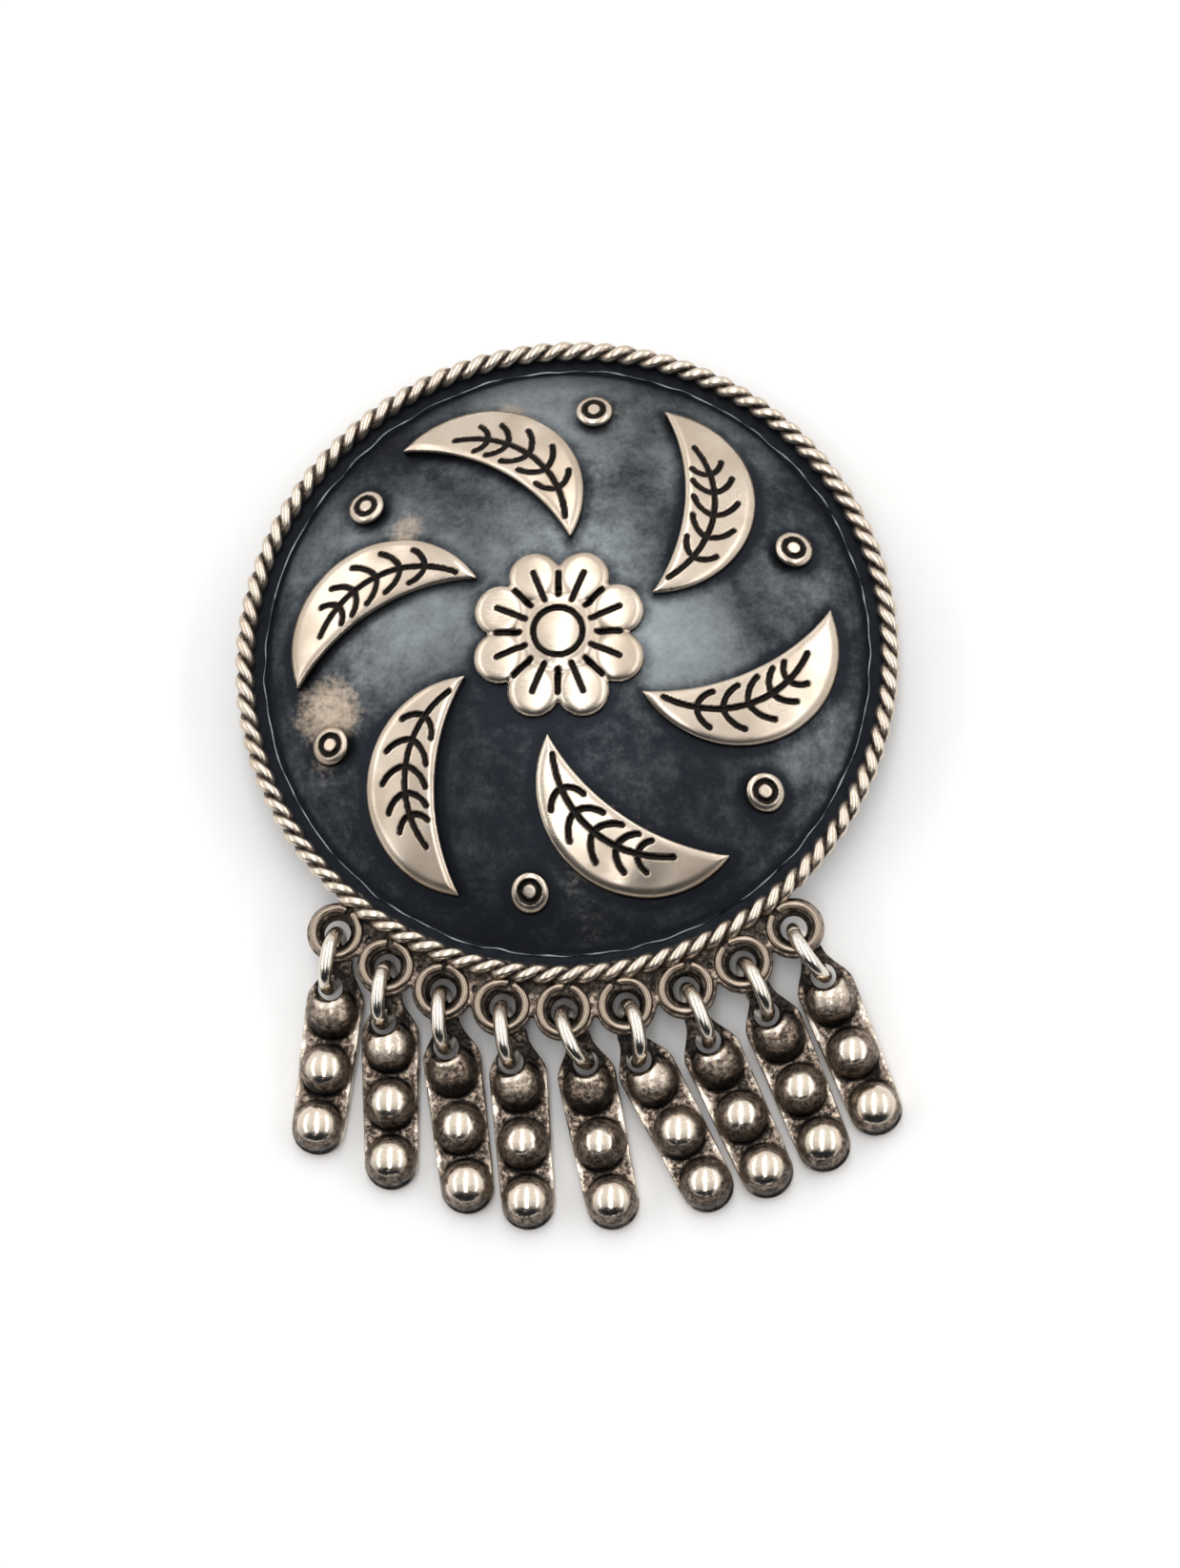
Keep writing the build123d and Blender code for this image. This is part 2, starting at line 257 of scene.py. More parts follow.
class BroochColours(bpy.types.PropertyGroup):
    """The colours of the brooch's finishes."""

    oxide: colour("Oxide", "The dome's blue-black", 0.016, 0.019, 0.025)
    # Deep oxide: black oxide with painted shade at the rosette's foot and under the rope.
    deep_oxide_and_shade: colour("Deep oxide", "The black of the flange and the rosette's foot", 0.010, 0.012, 0.016)
    # Oxide sheen: thinner oxide, with painted sheen of reflected light.
    oxide_sheen: colour("Oxide sheen", "Where the oxide is thinner", 0.30, 0.335, 0.355)
    rubbed: colour("Rubbed oxide", "Where the oxide is rubbed to brown", 0.53, 0.43, 0.335)
    solder: colour("Solder", "The pale line round the dome's foot", 0.24, 0.28, 0.315)
    silver: colour("Silver", "Polished silver", 0.80, 0.70, 0.59)
    soft_silver: colour("Soft silver", "The rubbed silver of rosette and rope", 0.70, 0.605, 0.505)
    white_silver: colour("White silver", "The jump rings' wire", 0.78, 0.725, 0.64)
    warm_silver: colour("Warm silver", "Silver with a thin tan tarnish", 0.56, 0.465, 0.37)
    dull_silver: colour("Dull silver", "The eyelets' brownish silver", 0.30, 0.245, 0.195)
    pale_tarnish: colour("Pale tarnish", "Tan tarnish on rough silver", 0.40, 0.315, 0.25)
    tarnish: colour("Tarnish", "Brown tarnish on rough silver", 0.105, 0.08, 0.064)
    # Black grime in grooves and pits, and painted shade in corners and valleys.
    dirt_and_shade: colour("Dirt", "Black in corners and grooves", 0.022, 0.019, 0.017)


class BroochStage(bpy.types.PropertyGroup):
    """The camera, the floor and the light."""

    azimuth: angle("Camera azimuth", "How far the camera stands round from the lower edge", 16.9)
    elevation: angle("Camera elevation", "How high the camera stands", 75.64)
    roll: angle("Camera roll", "How far the picture is turned", -17.17)
    distance: length("Camera distance", "From the camera to the point that it looks at", 260.0)
    target_x: length("Target x", "Point looked at, from the disc's middle", 1.82, low=-1.0)
    target_y: length("Target y", "Point looked at, from the disc's middle", -10.06, low=-1.0)
    view_height: angle("View height", "The angle that the picture's height takes in", 28.58)
    floor: colour("Floor", "The pale floor", 0.93, 0.93, 0.93)
    sky: colour("Sky", "The even light from all round", 1.0, 0.98, 0.955)
    dark_side: colour("Dark side", "The room behind the camera", 0.030, 0.036, 0.044)
    sky_strength: number("Sky strength", "How strong the even light is", 0.88, high=10.0)
    strip_height: length("Strip height", "How high the strip lights hang", 500.0)
    strip_radiance: number("Strip radiance", "How bright the strip lights are", 3.4, high=100.0)
    exposure: number("Exposure", "Exposure in stops", 0.06, low=-4.0, high=4.0)


# Mesh building


def full_turn(steps):
    """The angles of even steps all the way round."""
    return np.linspace(0, 2 * np.pi, steps, endpoint=False)


def direction(turns):
    """The flat point one unit out at each angle."""
    return np.column_stack([np.cos(turns), np.sin(turns)])


def looped(outline):
    """An outline as a line that ends where it starts."""
    return np.vstack([outline, outline[:1]])


def join(shapes):
    """One (points, faces) pair out of several."""
    points, faces, start = [], [], 0
    for more_points, more_faces in shapes:
        points.append(np.asarray(more_points, float))
        faces.extend([[corner + start for corner in face] for face in more_faces])
        start += len(more_points)
    return np.concatenate(points), faces


def sweep(rings, closed=True):
    """A tube through rings of points; closed joins its ends, and otherwise they are capped."""
    count, sides = rings.shape[:2]
    points = rings.reshape(-1, 3)
    faces = []
    for ring in range(count if closed else count - 1):
        here, after = ring * sides, (ring + 1) % count * sides
        for side in range(sides):
            nxt = (side + 1) % sides
            faces.append([here + side, here + nxt, after + nxt, after + side])
    if not closed:
        faces.append(list(range(sides))[::-1])
        faces.append([(count - 1) * sides + side for side in range(sides)])
    return points, faces


def hoop(turns, out, z, closed=True):
    """A tube round the z axis: how far out and how high its corners are at each turn."""
    ring = direction(turns)
    return sweep(np.stack([out * ring[:, :1], out * ring[:, 1:], z], axis=2), closed)


def bent_wire(turns, radius, thick, level, sides, tall=1.0, closed=True):
    """A wire bent about the z axis, its radius and half thickness given at each turn.

    level is the height of its middle, sides the number of its section's sides, and tall how many
    times as tall as wide the section is.
    """
    around = full_turn(sides)
    out = np.reshape(radius, (-1, 1)) + thick[:, None] * np.cos(around)
    return hoop(turns, out, level + tall * thick[:, None] * np.sin(around), closed)


def lathe(profile, steps):
    """A profile of (radius, z) points turned about the z axis; its points on the axis become poles."""
    on_axis = 1e-9
    points, rows = [], []
    turns = full_turn(steps)
    for radius, z in profile:
        if radius < on_axis:
            rows.append([len(points)] * steps)
            points.append((0.0, 0.0, z))
            continue
        rows.append([len(points) + step for step in range(steps)])
        points.extend((radius * math.cos(turn), radius * math.sin(turn), z) for turn in turns)
    closed = profile[0][0] > on_axis and profile[-1][0] > on_axis
    faces = []
    for row in range(len(rows) if closed else len(rows) - 1):
        low, high = rows[row], rows[(row + 1) % len(rows)]
        for step in range(steps):
            nxt = (step + 1) % steps
            corners = list(dict.fromkeys([low[step], high[step], high[nxt], low[nxt]]))
            if len(corners) > 2:
                faces.append(corners)
    return np.array(points), faces


def prism(outline, low, high):
    """A closed block over a flat outline, which runs anticlockwise."""
    count = len(outline)
    points = [(x, y, low) for x, y in outline] + [(x, y, high) for x, y in outline]
    faces = [list(range(count))[::-1], [count + corner for corner in range(count)]]
    for corner in range(count):
        nxt = (corner + 1) % count
        faces.append([corner, nxt, count + nxt, count + corner])
    return np.array(points), faces


def arc(start, middle, end, steps):
    """Points on the arc through three flat points, both ends among them."""
    (ax, ay), (bx, by), (cx, cy) = start, middle, end
    spread = 2 * (ax * (by - cy) + bx * (cy - ay) + cx * (ay - by))
    squares = [ax**2 + ay**2, bx**2 + by**2, cx**2 + cy**2]
    x = (squares[0] * (by - cy) + squares[1] * (cy - ay) + squares[2] * (ay - by)) / spread
    y = (squares[0] * (cx - bx) + squares[1] * (ax - cx) + squares[2] * (bx - ax)) / spread
    radius = math.hypot(ax - x, ay - y)
    first, half, last = (math.atan2(py - y, px - x) for px, py in (start, middle, end))
    half = first + (half - first) % (2 * math.pi)
    last = first + (last - first) % (2 * math.pi)
    if last < half:
        last -= 2 * math.pi
    turns = np.linspace(first, last, steps)
    return np.column_stack([x + radius * np.cos(turns), y + radius * np.sin(turns)])


def circle(middle, radius, steps):
    """Points of a flat circle, anticlockwise."""
    return np.array(middle) + radius * direction(full_turn(steps))


def ripple(points, wave, seed, waves=8):
    """A smooth seeded unevenness at each point, mostly between -1 and 1."""
    random = np.random.default_rng(seed)
    total = np.zeros(len(points))
    for _ in range(waves):
        way = random.normal(size=points.shape[1])
        way *= 2 * np.pi / wave * random.uniform(0.6, 1.5) / np.linalg.norm(way)
        total += np.sin(points @ way + random.uniform(0, 2 * np.pi))
    return total / math.sqrt(waves)


def ease(values, low, high):
    """0 below low, 1 above high, and smooth between."""
    share = np.clip((values - low) / (high - low), 0, 1)
    return share * share * (3 - 2 * share)


def line_distance(places, line):
    """The distance from each flat place to a line of flat points."""
    best = np.full(len(places), np.inf)
    for start, end in zip(line[:-1], line[1:]):
        along = end - start
        share = np.clip((places - start) @ along / (along @ along), 0, 1)
        away = places - start - share[:, None] * along
        best = np.minimum(best, np.hypot(away[:, 0], away[:, 1]))
    return best


def build_mesh(name, points, faces):
    """A mesh with smooth faces."""
    mesh = bpy.data.meshes.new(name)
    mesh.from_pydata([tuple(point) for point in points], [], faces)
    mesh.validate()
    mesh.polygons.foreach_set("use_smooth", [True] * len(mesh.polygons))
    mesh.update()
    return mesh


def placed(shape, place):
    """A shape moved to its place."""
    points, faces = shape
    return points @ np.array(place.to_3x3()).T + np.array(place.translation), faces


def link(name, data):
    """A new object in the scene."""
    made = bpy.data.objects.new(name, data)
    bpy.context.scene.collection.objects.link(made)
    return made


def modify(piece, name, kind, **settings):
    """A modifier with its settings."""
    modifier = piece.modifiers.new(name, kind)
    for key, value in settings.items():
        setattr(modifier, key, value)


def fused(shape, skin, cutter=None):
    """One closed and softened skin round overlapping shapes, less the cutter."""
    face_size, rounds = skin
    used = [link("rough", build_mesh("rough", *shape))]
    modify(used[0], "skin", "REMESH", mode="VOXEL", voxel_size=face_size)
    if cutter is not None:
        used.append(link("cutter", build_mesh("cutter", *cutter)))
        modify(used[0], "cut", "BOOLEAN", operation="DIFFERENCE", solver="EXACT", object=used[1])
        modify(used[0], "again", "REMESH", mode="VOXEL", voxel_size=face_size)
    modify(used[0], "soft", "SMOOTH", factor=0.5, iterations=rounds)
    graph = bpy.context.evaluated_depsgraph_get()
    mesh = bpy.data.meshes.new_from_object(used[0].evaluated_get(graph))
    points = np.zeros(len(mesh.vertices) * 3)
    mesh.vertices.foreach_get("co", points)
    faces = [list(face.vertices) for face in mesh.polygons]
    spent = [mesh] + [thing.data for thing in used]
    for thing in used:
        bpy.data.objects.remove(thing)
    for rough in spent:
        bpy.data.meshes.remove(rough)
    return points.reshape(-1, 3), faces


def finish_piece(name, shape, material, place=None, node="disc", slot="oxidised_silver", **painted):
    """Puts a piece in the frame in place of its node.

    Its points are millimetres round the disc's middle, moved to place if there is one. Each further
    value is painted on the points under its own name. A piece without wear is bare metal all over.
    """
    points, faces = shape if place is None else placed(shape, place)
    mesh = build_mesh(name, (points + (DISC_X, DISC_Y, 0)) * MM, faces)
    painted.setdefault("wear", np.ones(len(points)))
    for key, values in painted.items():
        mesh.attributes.new(key, "FLOAT", "POINT").data.foreach_set("value", values)
    mesh.materials.append(bpy.data.materials[material])
    piece = link(name, mesh)
    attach(piece, "root")
    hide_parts(node)


# Finishes


class Bench:
    """Adds and joins the nodes of one material or world."""

    def __init__(self, owner, coordinate="Object"):
        owner.use_nodes = True
        self.owner = owner
        self.tree = owner.node_tree
        kinds = ("BSDF_PRINCIPLED", "BACKGROUND")
        self.shader = next(node for node in self.tree.nodes if node.type in kinds)
        self.place = self.add("ShaderNodeTexCoord").outputs[coordinate]

    def add(self, kind, inputs=None, **settings):
        """A node with its settings, its input values and what is joined to its inputs."""
        node = self.tree.nodes.new(kind)
        for key, value in settings.items():
            setattr(node, key, value)
        for key, value in (inputs or {}).items():
            self.feed(node.inputs[key], value)
        return node

    def feed(self, socket, value):
        """Joins an output to the socket, or sets the socket's own value."""
        if isinstance(value, bpy.types.NodeSocket):
            self.tree.links.new(value, socket)
        elif hasattr(value, "__len__") and len(value) == 3 and socket.type == "RGBA":
            socket.default_value = (*value, 1.0)
        else:
            socket.default_value = value

    def sum(self, kind, first, second):
        """One step of arithmetic."""
        return self.add("ShaderNodeMath", {0: first, 1: second}, operation=kind).outputs[0]

    def total(self, *parts):
        """The sum of (value, weight) parts."""
        whole = 0.0
        for value, weight in parts:
            whole = self.sum("ADD", whole, self.sum("MULTIPLY", value, weight))
        return whole

    def spread(self, value, low, high, to_low=0.0, to_high=1.0):
        """A smooth step from low to high."""
        inputs = {"Value": value, "From Min": low, "From Max": high, "To Min": to_low, "To Max": to_high}
        return self.add("ShaderNodeMapRange", inputs, interpolation_type="SMOOTHSTEP").outputs["Result"]

    def rest(self, share):
        """What a share leaves of 1."""
        return self.sum("SUBTRACT", 1.0, share)

    def painted(self, name):
        """What is painted on the piece's points under a name."""
        return self.add("ShaderNodeAttribute", attribute_name=name).outputs["Fac"]

    def blend(self, share, first, second):
        """One colour or another, by share."""
        inputs = {"Factor": share, 6: first, 7: second}
        return self.add("ShaderNodeMix", inputs, data_type="RGBA").outputs[2]

    def noise(self, scale, detail=4.0, rough=0.55, place=None):
        """A noise whose scale is in waves to the metre."""
        inputs = {"Vector": place or self.place, "Scale": scale, "Detail": detail, "Roughness": rough}
        return self.add("ShaderNodeTexNoise", inputs).outputs["Fac"]

    def scratches(self, turn, along, across, width):
        """Fine straight scratches: 1 on a scratch and 0 beside it."""
        turned = (0.0, 0.0, math.radians(turn))
        inputs = {"Vector": self.place, "Rotation": turned, "Scale": (along, across, across)}
        stretched = self.add("ShaderNodeMapping", inputs).outputs["Vector"]
        lines = self.noise(1.0, 2.0, 0.5, stretched)
        off = self.sum("ABSOLUTE", self.sum("SUBTRACT", lines, 0.5), 0.0)
        return self.spread(off, 0.0, width, 1.0, 0.0)

    def crossed(self, rows):
        """Two sets of scratches over each other."""
        first, second = rows
        return self.sum("MAXIMUM", self.scratches(*first), self.scratches(*second))

    def bumps(self, *layers):
        """Bumps over one another, each a height, its distance in millimetres and its strength."""
        normal = None
        for height, distance, strength in layers:
            inputs = {"Height": height, "Distance": distance * MM, "Strength": strength}
            if normal is not None:
                inputs["Normal"] = normal
            normal = self.add("ShaderNodeBump", inputs).outputs["Normal"]
        return normal

    def coat(self, **values):
        """Feeds the shader's inputs: base_color is its Base Color, and so on."""
        for key, value in values.items():
            self.feed(self.shader.inputs[key.replace("_", " ").title()], value)


def worn_silver(name, colours, bright, shine, patches=0.1, pits=0.01, uneven=0.3, wear=None):
    """Silver whose finish follows its wear: 0 is black, as grime and as painted shade, a half brown tarnish
    and 1 bare metal.

    bright and shine are the bare metal's colour and roughness, patches is how much tarnish lies on
    it, pits the depth of the pitting where it is tarnished, uneven how ragged the change is and
    wear the wear of a piece on which none is painted.
    """
    bench = Bench(bpy.data.materials.new(name))
    wear = wear or bench.painted("wear")
    broad = bench.noise(330.0, 5.0, 0.62)
    fine = bench.noise(1700.0, 5.0, 0.7)
    worn = bench.total((wear, 1.0), (broad, uneven), (fine, uneven), (1.0, -uneven))
    brown = bench.spread(worn, 0.02, 0.42)
    bare = bench.spread(worn, 0.52, 0.92)
    film = bench.spread(bench.noise(140.0, 4.0, 0.6), 0.74 - patches, 1.0 - patches)
    skin = bench.blend(film, bright, colours.warm_silver)
    pitted = bench.spread(bench.noise(2600.0, 4.0, 0.7), 0.36, 0.52, 1.0, 0.0)
    pitted = bench.sum("MULTIPLY", pitted, bench.rest(bare))
    tarnish = bench.blend(bench.spread(fine, 0.35, 0.65), colours.tarnish, colours.pale_tarnish)
    tarnish = bench.blend(bench.sum("MULTIPLY", pitted, 0.8), tarnish, colours.dirt_and_shade)
    # A low wear gives black: grime, and painted shade where a piece paints shade into its wear.
    base = bench.blend(bare, bench.blend(brown, colours.dirt_and_shade, tarnish), skin)
    hair = bench.crossed(SILVER_SCRATCHES)
    sheen = {"Factor": bare, "A": 0.38, "B": shine}
    roughness = bench.add("ShaderNodeMix", sheen, data_type="FLOAT").outputs[0]
    roughness = bench.total((roughness, 1.0), (film, 0.08), (broad, 0.12), (1.0, -0.06), (hair, 0.07))
    normal = bench.bumps(
        (bench.rest(pitted), pits, 1.0),
        (bench.noise(900.0, 3.0, 0.6), 0.006, 0.5),
        (bench.rest(hair), 0.002, 0.6),
    )
    bench.coat(base_color=base, roughness=roughness, metallic=1.0, normal=normal)


def spots(bench, places):
    """How far each point is inside soft round spots, by their strength."""
    level = {0: bench.place, 1: (1.0, 1.0, 0.0)}
    flat = bench.add("ShaderNodeVectorMath", level, operation="MULTIPLY").outputs[0]
    inside = 0.0
    for spot in places:
        ends = {0: flat, 1: ((DISC_X + spot.x) * MM, (DISC_Y + spot.y) * MM, 0.0)}
        away = bench.add("ShaderNodeVectorMath", ends, operation="DISTANCE").outputs["Value"]
        full, none = 0.25 * spot.reach * MM, 1.5 * spot.reach * MM
        inside = bench.sum("MAXIMUM", inside, bench.spread(away, full, none, spot.strength, 0.0))
    return inside


def oxidised_silver(colours):
    """The dome's blue-black oxide: mottled, paler in spots with painted sheen, black with oxide and painted
    shade at the rosette's foot and by the rope, and rubbed to brown in spots.
    """
    bench = Bench(bpy.data.materials.new("oxidised_dome"))
    clouds = bench.noise(120.0, 5.0, 0.62)
    mottle = bench.noise(620.0, 6.0, 0.68)
    fine = bench.noise(2300.0, 4.0, 0.7)
    foot = bench.painted("foot")
    front = bench.spread(foot, -0.6, -0.2)
    # The pale spots paint thinner oxide and painted sheen of reflected light.
    pale = bench.sum("MULTIPLY", spots(bench, PALE_AND_SHEEN_SPOTS), front)
    thin = bench.total((clouds, 0.32), (mottle, 0.30), (fine, 0.18), (pale, 0.34), (foot, -0.14))
    base = bench.blend(bench.spread(thin, 0.34, 0.94), colours.oxide, colours.oxide_sheen)
    streaks = bench.scratches(64.0, 150.0, 900.0, 0.09)
    ragged = bench.noise(260.0, 6.0, 0.66)
    rub = bench.total((spots(bench, RUBBED_SPOTS), 1.0), (ragged, 1.3), (fine, 0.7))
    rub = bench.spread(bench.total((rub, 1.0), (streaks, -0.12), (1.0, -0.99)), 0.30, 1.15, 0.0, 0.92)
    base = bench.blend(bench.sum("MULTIPLY", rub, front), base, colours.rubbed)
    # Black at the rosette's foot and by the rope: oxide in the hollows and painted shade.
    base = bench.blend(bench.spread(foot, 0.9, 1.4), base, colours.deep_oxide_and_shade)
    hair = bench.crossed(DOME_SCRATCHES)
    roughness = bench.spread(bench.total((mottle, 1.0), (fine, 0.5)), 0.55, 0.95, 0.50, 0.36)
    roughness = bench.total((roughness, 1.0), (foot, 0.06), (hair, -0.06))
    normal = bench.bumps(
        (fine, 0.010, 0.8),
        (mottle, 0.04, 0.5),
        (bench.noise(170.0, 3.0, 0.5), 0.08, 0.6),
        (hair, 0.003, 1.0),
    )
    bench.coat(base_color=base, roughness=roughness, metallic=0.9, normal=normal)


def pale_solder(colours):
    """The solder line: pale where it is rubbed, and lost in the oxide elsewhere."""
    bench = Bench(bpy.data.materials.new("solder_silver"))
    ragged = bench.noise(900.0, 5.0, 0.75)
    rubbed = bench.spread(bench.total((bench.painted("wear"), 1.0), (ragged, 1.2), (1.0, -0.6)), 0.25, 0.95)
    base = bench.blend(rubbed, colours.deep_oxide_and_shade, colours.solder)
    normal = bench.bumps((bench.noise(1800.0, 4.0, 0.7), 0.02, 1.0))
    bench.coat(base_color=base, roughness=0.4, metallic=1.0, normal=normal)


# Places and forms of the pieces


def sizes_in_mm(context):
    """The sizes as plain numbers in millimetres, with those that follow from them."""
    group = context.scene.brooch_sizes
    given = {}
    for name in BroochSizes.__annotations__:
        value = getattr(group, name)
        given[name] = value if isinstance(value, int) else value / MM
    sizes = SimpleNamespace(**given)
    sizes.flange_top = sizes.flange_lift + sizes.flange_sheet
    sizes.flange_radius = sizes.disc_radius - sizes.flange_inset
    sizes.dome_top = disc_high.z - sizes.relief_rise
    sizes.dome_rise = sizes.dome_top - sizes.flange_top
    sizes.ball_radius = (sizes.dome_radius**2 + sizes.dome_rise**2) / (2 * sizes.dome_rise)
    sizes.ball_z = sizes.dome_top - sizes.ball_radius
    sizes.rope_radius = sizes.disc_radius - sizes.rope_width / 2
    sizes.rope_z = sizes.flange_top + sizes.rope_width / 2 - sizes.rope_sunk
    sizes.tab_radius = sizes.eyelet_width / 2 + sizes.tab_margin
    sizes.eyelet_radius = DISC_Y - disc_low.y - sizes.tab_radius
    sizes.eyelet_step = 2 * math.asin(sizes.eyelet_pitch / 2 / sizes.eyelet_radius)
    sizes.ring_radius = (sizes.ring_inner + sizes.ring_wire) / 2
    sizes.ring_z = sizes.ring_radius + sizes.ring_wire / 2
    last_ball = sizes.ball_first + sizes.ball_pitch * (sizes.ball_count - 1)
    sizes.drop_tail = last_ball + sizes.ball_width / 2 + sizes.ball_margin
    sizes.drop_tilt = math.asin(sizes.drop_lift / sizes.drop_tail)
    sizes.hole_z = sizes.drop_lift + sizes.drop_sheet / 2
    level_reach = math.sqrt(sizes.ring_radius**2 - (sizes.ring_z - sizes.hole_z) ** 2)
    sizes.hole_reach = sizes.ring_radius + level_reach
    return sizes


def dome_height(sizes, radius, rise=0.0):
    """Height of the dome's outer skin, or of a layer over it, at a distance from its middle."""
    return sizes.ball_z + np.sqrt((sizes.ball_radius + rise) ** 2 - radius**2)


def on_dome(sizes, points):
    """Lays points on the dome, their z being the height over its skin."""
    radius = np.hypot(points[:, 0], points[:, 1])
    return np.column_stack([points[:, :2], dome_height(sizes, radius, points[:, 2])])


def polar(sizes, share, degrees):
    """A flat point of the rosette, from its share of the dome's radius and its angle."""
    return share * sizes.dome_radius * direction([math.radians(degrees)])[0]


def spin(degrees):
    """A turn about z."""
    return Matrix.Rotation(math.radians(degrees), 4, "Z")


def eyelet_place(sizes, index):
    """Where an eyelet's middle is on the table, with local -Y pointing away from the disc."""
    turn = (index - (DROP_COUNT - 1) / 2) * sizes.eyelet_step
    return Matrix.Rotation(turn, 4, "Z") @ Matrix.Translation((0, -sizes.eyelet_radius, 0))


def hang_place(sizes, index):
    """An eyelet's middle on the table, unturned."""
    return Matrix.Translation(eyelet_place(sizes, index).translation)


def motif_start(sizes, number):
    """The angle in degrees that a leaf and its berry are measured from."""
    return ROSETTE_START + 360 / sizes.leaf_count * number


def dome_shape(sizes):
    """The dome and flange: one dished sheet with an outer and an inner skin."""
    inner_ball = sizes.ball_radius - sizes.dome_sheet
    inner_radius = math.sqrt(inner_ball**2 - (sizes.flange_lift - sizes.ball_z) ** 2)
    edge, crease = 0.18, 0.15
    top, low, rim = sizes.flange_top, sizes.flange_lift, sizes.flange_radius
    profile = [(r, dome_height(sizes, r)) for r in np.linspace(0, sizes.dome_radius, DOME_ROWS)]
    profile += [(r, top) for r in np.linspace(sizes.dome_radius + crease, rim - edge, 6)]
    profile += [(rim, top - edge), (rim, low + edge), (rim - edge, low)]
    profile += [(r, low) for r in np.linspace(rim - 2 * edge, inner_radius + edge, 5)]
    inside = np.linspace(inner_radius, 0, DOME_INSIDE_ROWS)
    profile += [(r, sizes.ball_z + math.sqrt(inner_ball**2 - r**2)) for r in inside]
    points, faces = lathe(profile, DOME_STEPS)
    radius = np.hypot(points[:, 0], points[:, 1])
    hammered = 1 - ease(radius, 0.86 * sizes.dome_radius, 0.99 * sizes.dome_radius)
    uneven = ripple(points[:, :2], 11.0, SEEDS["dome"])
    uneven += 0.5 * ripple(points[:, :2], 5.0, SEEDS["dome_fine"])
    points[:, 2] += sizes.dome_unevenness * uneven * hammered
    return points, faces


def solder_shape(sizes):
    """The thin wavy line of solder round the dome's foot."""
    turns = full_turn(SOLDER_STEPS)
    ring = direction(turns) * 25
    off, seat, tall = 0.12, 0.04, 1.15
    radius = sizes.dome_radius + off
    radius = radius + 0.07 * ripple(ring, 3.1, SEEDS["solder_path"])
    radius = radius + 0.05 * ripple(ring, 9.0, SEEDS["solder_path_broad"])
    thick = sizes.solder_width / 2 * (1 + 0.35 * ripple(ring, 2.3, SEEDS["solder_width"]))
    thick = np.clip(thick, 0.05, 0.3)
    return bent_wire(turns, radius, thick, sizes.flange_top + seat, SOLDER_SIDES, tall)


def strand_shape(sizes, phase):
    """One of the rope border's two strands, its top rubbed a little flat."""
    wire = sizes.rope_width * 0.325
    offset = sizes.rope_width / 2 - wire
    turns = full_turn(sizes.rope_turns * TWIST_STEPS)
    sides = full_turn(STRAND_SIDES)
    twist = phase + sizes.rope_turns * turns
    bulge = 1 + 0.025 * ripple(direction(turns) * 27, 4.0, SEEDS["strand"])
    out = offset * np.cos(twist)[:, None] + wire * bulge[:, None] * np.cos(sides)
    up = offset * np.sin(twist)[:, None] + wire * bulge[:, None] * np.sin(sides)
    flat = 0.84 * sizes.rope_width / 2
    up = np.where(up > flat, flat + 0.5 * (up - flat), up)
    return hoop(turns, sizes.rope_radius + out, sizes.rope_z + up)


def rope_wear_and_shade(sizes, points):
    """The rope is bright outside and dark in the valleys between its strands, with dirt and painted shade.
    """
    across = np.hypot(points[:, 0], points[:, 1]) - sizes.rope_radius
    away = np.hypot(across, points[:, 2] - sizes.rope_z) / (sizes.rope_width / 2)
    return 0.12 + 0.88 * ease(away, 0.60, 0.86)


def engrave(sizes, places, heights, lines):
    """How deep engraved lines are and how black they look at each place, on the top of a relief only."""
    half, blackened = sizes.groove_width / 2, 0.13
    away = np.full(len(places), np.inf)
    for line in lines:
        reach = np.ptp(line, axis=0).max() + 4 * half
        near = np.hypot(*(places - line.mean(0)).T) < reach
        away[near] = np.minimum(away[near], line_distance(places[near], line))
    top = ease(heights, 0.35, 0.8)
    cut = np.clip(1 - away / half, 0, 1) ** 0.7
    return sizes.groove_depth * cut * top, (1 - ease(away, half, half + blackened)) * top


def relief(sizes, name, outlines, lines, crown=None):
    """A raised motif on the dome, from flat outlines and engraved lines, its edges rubbed round."""
    low, high = -sizes.relief_root, sizes.relief_rise
    rubbed_edge, rubbed_reach, unevenness = 0.26, 0.75, 0.03
    points, faces = fused(join([prism(outline, low, high) for outline in outlines]), RELIEF_SKIN)
    heights = points[:, 2].copy()
    places = points[:, :2]
    top = ease(heights, 0.5 * high, 0.95 * high)
    upper = np.flatnonzero(top > 0)
    inside = np.zeros(len(points))
    for outline in outlines:
        near = line_distance(places[upper], looped(outline))
        inside[upper] = np.maximum(inside[upper], np.where(within(places[upper], outline), near, 0))
    points[:, 2] -= rubbed_edge * (1 - np.clip(inside / rubbed_reach, 0, 1)) ** 2 * top
    if crown is not None:
        points[:, 2] += crown(places) * top
    points[:, 2] += unevenness * ripple(places, 4.5, SEEDS["relief"]) * top
    cut, black = engrave(sizes, places, heights, lines)
    points[:, 2] -= cut
    # Rubbed bright on top; the low walls are tarnished and darkened with painted shade, and the engraved
    # lines are blackened.
    wear = ease(heights, 0.40 * high, 0.85 * high) * (1 - black)
    finish_piece(name, (on_dome(sizes, points), faces), "polished_relief", wear=wear)


def within(places, outline):
    """Whether each flat place is inside an outline."""
    turns = 0.0
    for start, end in zip(outline, np.roll(outline, -1, axis=0)):
        first, last = start - places, end - places
        cross = first[:, 0] * last[:, 1] - first[:, 1] * last[:, 0]
        turns = turns + np.arctan2(cross, (first * last).sum(1))
    return np.abs(turns) > math.pi


